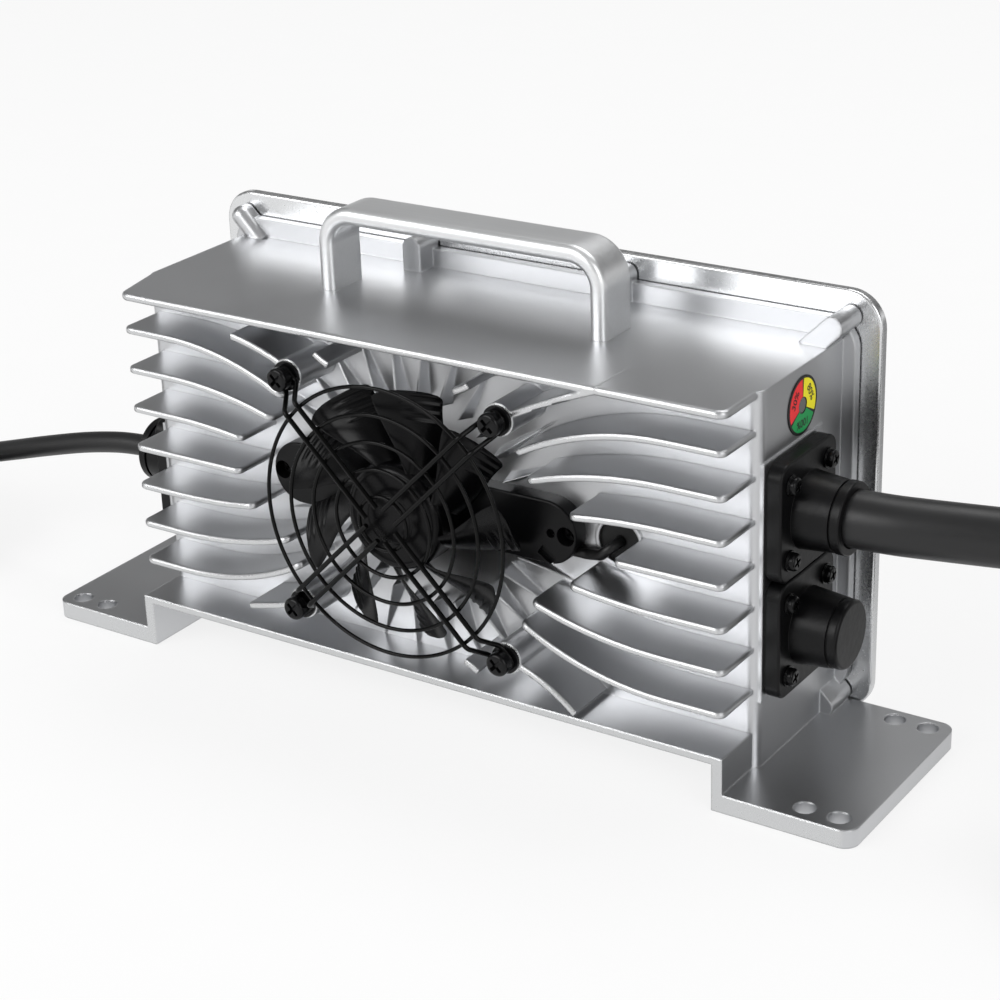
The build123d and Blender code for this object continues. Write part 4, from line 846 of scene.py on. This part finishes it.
@dataclass
class ChargeLabel:
    """The round charge label: a black ring, three coloured sectors and their plain figures."""

    paint: Paint
    wall_x: float = 119.5
    middle_y: float = 46.2
    middle_z: float = 120.5
    ring: float = 8.6
    window: float = 2.7
    thickness: float = 0.3
    sector_rise: float = 0.02
    print_rise: float = 0.03
    line_angle: float = 3.0
    figure_size: float = 3.6
    figure_weight: float = 0.06
    arc_steps: int = 49
    sectors: tuple = (
        (Finish.PRINT_RED, 90.0, 210.0, "30%"),
        (Finish.PRINT_GREEN, 210.0, 330.0, "100%"),
        (Finish.PRINT_YELLOW, 330.0, 450.0, "80%"),
    )

    def sector(self, name: str, a0: float, a1: float, x: float) -> bpy.types.Object:
        """A flat part of a ring: each point is the centre plus its radius times its direction.

        Args:
            name: the piece's name.
            a0: first angle in degrees, from +Y towards +Z.
            a1: last angle in degrees.
            x: the plane it lies in.
        Returns:
            The new piece.
        """
        angle = np.radians(np.linspace(a1, a0, self.arc_steps))[None, :]
        radius = np.array([self.window, self.ring])[:, None]
        y = self.middle_y + radius * np.cos(angle)
        z = self.middle_z + radius * np.sin(angle)
        points = np.stack([np.full_like(y, x), y + FRAME_SHIFT, z], axis=-1) * MM
        return grid_mesh(name, points)

    def figure(self, name: str, words: str, angle: float, x: float) -> bpy.types.Object:
        """A small plain figure, turned to follow the ring, as a mesh in place.

        Args:
            name: the piece's name.
            words: the figure.
            angle: its place round the ring in degrees.
            x: the plane it lies in.
        Returns:
            The new piece.
        """
        text = bpy.data.curves.new(name, "FONT")
        text.body = words
        text.size = self.figure_size * MM
        text.offset = self.figure_weight * MM
        text.align_x = "CENTER"
        text.align_y = "CENTER"
        holder = bpy.data.objects.new(name, text)
        bpy.context.scene.collection.objects.link(holder)
        bpy.context.view_layer.update()
        mesh = bpy.data.meshes.new_from_object(holder)
        bpy.data.objects.remove(holder)
        turn = math.radians(angle - 90.0)
        across = np.array([0.0, math.cos(turn), math.sin(turn)])
        upward = np.array([0.0, -math.sin(turn), math.cos(turn)])
        radius = (self.ring + self.window) / 2
        way = math.radians(angle)
        y = self.middle_y + radius * math.cos(way)
        z = self.middle_z + radius * math.sin(way)
        middle = np.array(place(x, y, z))
        flat = np.empty(len(mesh.vertices) * 3)
        mesh.vertices.foreach_get("co", flat)
        flat = flat.reshape(-1, 3)
        placed = middle + flat[:, :1] * across + flat[:, 1:2] * upward
        mesh.vertices.foreach_set("co", placed.ravel())
        mesh.update()
        piece = bpy.data.objects.new(name, mesh)
        bpy.context.scene.collection.objects.link(piece)
        return piece

    def build(self) -> None:
        """Make the sectors and their figures."""
        face = self.wall_x + self.thickness + self.sector_rise
        line = self.line_angle
        for k, (finish, a0, a1, words) in enumerate(self.sectors):
            area = self.sector(f"label_sector_{k}", a0 + line, a1 - line, face)
            middle = (a0 + a1) / 2
            digits = self.figure(f"label_figure_{k}", words, middle, face + self.print_rise)
            self.paint.coat(area, finish)
            self.paint.coat(digits, Finish.PRINT_BLACK)
            for piece in (area, digits):
                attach(piece, "case")
        log.info("label printed")


@dataclass(frozen=True)
class Lamp:
    """A soft rectangular lamp: its place and size in metres and its power in watts."""

    name: str
    where: tuple[float, float, float]
    size: tuple[float, float]
    power: float

    def hang(self, aim: tuple[float, float, float]) -> None:
        """Add the lamp.

        Args:
            aim: the point it faces, in metres.
        """
        data = bpy.data.lights.new(self.name, "AREA")
        data.shape = "RECTANGLE"
        data.size, data.size_y = self.size
        data.energy = self.power
        lamp = bpy.data.objects.new(self.name, data)
        bpy.context.scene.collection.objects.link(lamp)
        back = np.array(self.where, float) - np.array(aim, float)
        back /= np.linalg.norm(back)
        side = np.cross((0.0, 0.0, 1.0), back)
        side /= np.linalg.norm(side)
        axes = np.eye(4)
        axes[:3, 0] = side
        axes[:3, 1] = np.cross(back, side)
        axes[:3, 2] = back
        axes[:3, 3] = self.where
        lamp.matrix_world = Matrix(axes.tolist())


@dataclass
class Studio:
    """The floor, the lamps, the surroundings and the camera.

    The surroundings are two sets of stops from straight down, 0, to straight up, 1: one
    for the rays that see them, and one for the light that they give.
    """

    camera_mm: tuple[float, float, float] = (423.69067, -562.40577, 384.87610)
    right: tuple[float, float, float] = (0.83257652, 0.55292558, -0.03300956)
    down: tuple[float, float, float] = (0.19498378, -0.34833668, -0.91686579)
    forward: tuple[float, float, float] = (-0.518457, 0.75692461, -0.39782846)
    focal_pixels: float = 2375.6254
    picture_pixels: float = 1000.0
    sensor_mm: float = 36.0
    floor_size: float = 12.0
    floor_z: float = -0.0002
    # Where and how strongly a painted shadow darkens the floor's glow behind the object.
    floor_glow: float = 0.80
    shadow_from_y: float = -0.03
    shadow_over: float = 0.30
    shadow_share: float = 0.8
    aim: tuple[float, float, float] = (0.0, 0.0, 0.07)
    lamps: tuple = (
        Lamp("key_softbox", (-0.8, -1.6, 1.1), (1.6, 1.0), 25.0),
        Lamp("side_softbox", (1.7, -1.0, 1.0), (0.9, 1.2), 12.0),
        Lamp("top_softbox", (0.1, 0.9, 1.9), (1.6, 0.8), 14.0),
    )
    seen: tuple = (
        (0.0, 1.0), (0.555, 1.0), (0.60, 0.20), (0.67, 0.11),
        (0.73, 0.24), (0.84, 0.28), (1.0, 0.50),
    )
    around: tuple = ((0.0, 0.40), (0.5, 0.45), (0.7, 0.40), (1.0, 0.60))

    def set_camera(self) -> None:
        """Place the camera as the photograph's was."""
        data = bpy.data.cameras.new("photo_camera")
        data.sensor_width = self.sensor_mm
        data.lens = self.sensor_mm * self.focal_pixels / self.picture_pixels
        data.clip_start = 0.05
        data.clip_end = 60.0
        camera = bpy.data.objects.new("photo_camera", data)
        bpy.context.scene.collection.objects.link(camera)
        axes = np.eye(4)
        axes[:3, 0] = self.right
        axes[:3, 1] = -np.array(self.down)
        axes[:3, 2] = -np.array(self.forward)
        axes[:3, 3] = place(*self.camera_mm)
        camera.matrix_world = Matrix(axes.tolist())
        bpy.context.scene.camera = camera

    def lay_floor(self) -> None:
        """Lay a pale floor that keeps the object's shadow.

        Part of it glows, so that it looks white and reflects as white. Behind the object
        the glow that reflections see is darkened by a painted shadow.
        """
        half = self.floor_size / 2
        side = np.linspace(-half, half, 2)
        x, y = np.meshgrid(side, side)
        points = np.stack([x, y, np.full_like(x, self.floor_z)], axis=-1)
        floor = grid_mesh("studio_floor", points)
        made = bpy.data.materials.new("studio_floor")
        made.use_nodes = True
        g = Graph(made.node_tree)
        grain = g.noise(g.spot(), 40.0)
        colour = g.mix(grain, (0.80, 0.80, 0.80), (0.84, 0.84, 0.84))
        matt = g.node("BsdfPrincipled", None, {"Base Color": colour, "Roughness": 0.9})
        unseen = 1.0 - g.node("LightPath", output="Is Camera Ray")
        # Painted shadow: behind the object the glow that reflections see is darkened.
        painted_shadow = g.axis("Y").above(self.shadow_from_y, self.shadow_over) * unseen
        glow = g.mix(painted_shadow * self.shadow_share, (1.0, 1.0, 1.0), (0.0, 0.0, 0.0))
        light = g.node("Emission", None, {"Color": glow, "Strength": 1.0})
        share = backdrop_rays(g) * self.floor_glow
        shader = g.node("MixShader", None, {0: share, 1: matt, 2: light})
        g.finish(shader)
        floor.data.materials.append(made)

    def light(self) -> None:
        """Set the lamps and the surroundings."""
        for lamp in self.lamps:
            lamp.hang(self.aim)
        world = bpy.data.worlds.new("studio_room")
        world.use_nodes = True
        bpy.context.scene.world = world
        g = Graph(world.node_tree)
        up = g.node("TexCoord", output="Generated")
        height = g.node("SeparateXYZ", None, {0: up}, output="Z") * 0.5 + 0.5
        backdrop = g.node("ValToRGB", {"stops": self.seen}, {0: height})
        room = g.node("ValToRGB", {"stops": self.around}, {0: height})
        colour = g.mix(backdrop_rays(g), room, backdrop)
        shade = g.node("Background", None, {"Color": colour, "Strength": 1.0})
        g.node("OutputWorld", None, {"Surface": shade})


def main() -> None:
    """Build every piece in order."""
    logging.basicConfig(level=logging.INFO, format="%(name)s: %(message)s")
    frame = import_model()
    nodes = frame["nodes"]
    paint = Paint()
    bpy.context.scene.view_settings.view_transform = "Standard"
    studio = Studio()
    studio.set_camera()
    OutputCable(nodes, paint).build()
    MainsCable(nodes, paint).build()
    Impeller(paint).build()
    ChargeLabel(paint).build()
    Fittings(nodes, paint).dress()
    studio.lay_floor()
    studio.light()


if __name__ == "__main__":
    main()
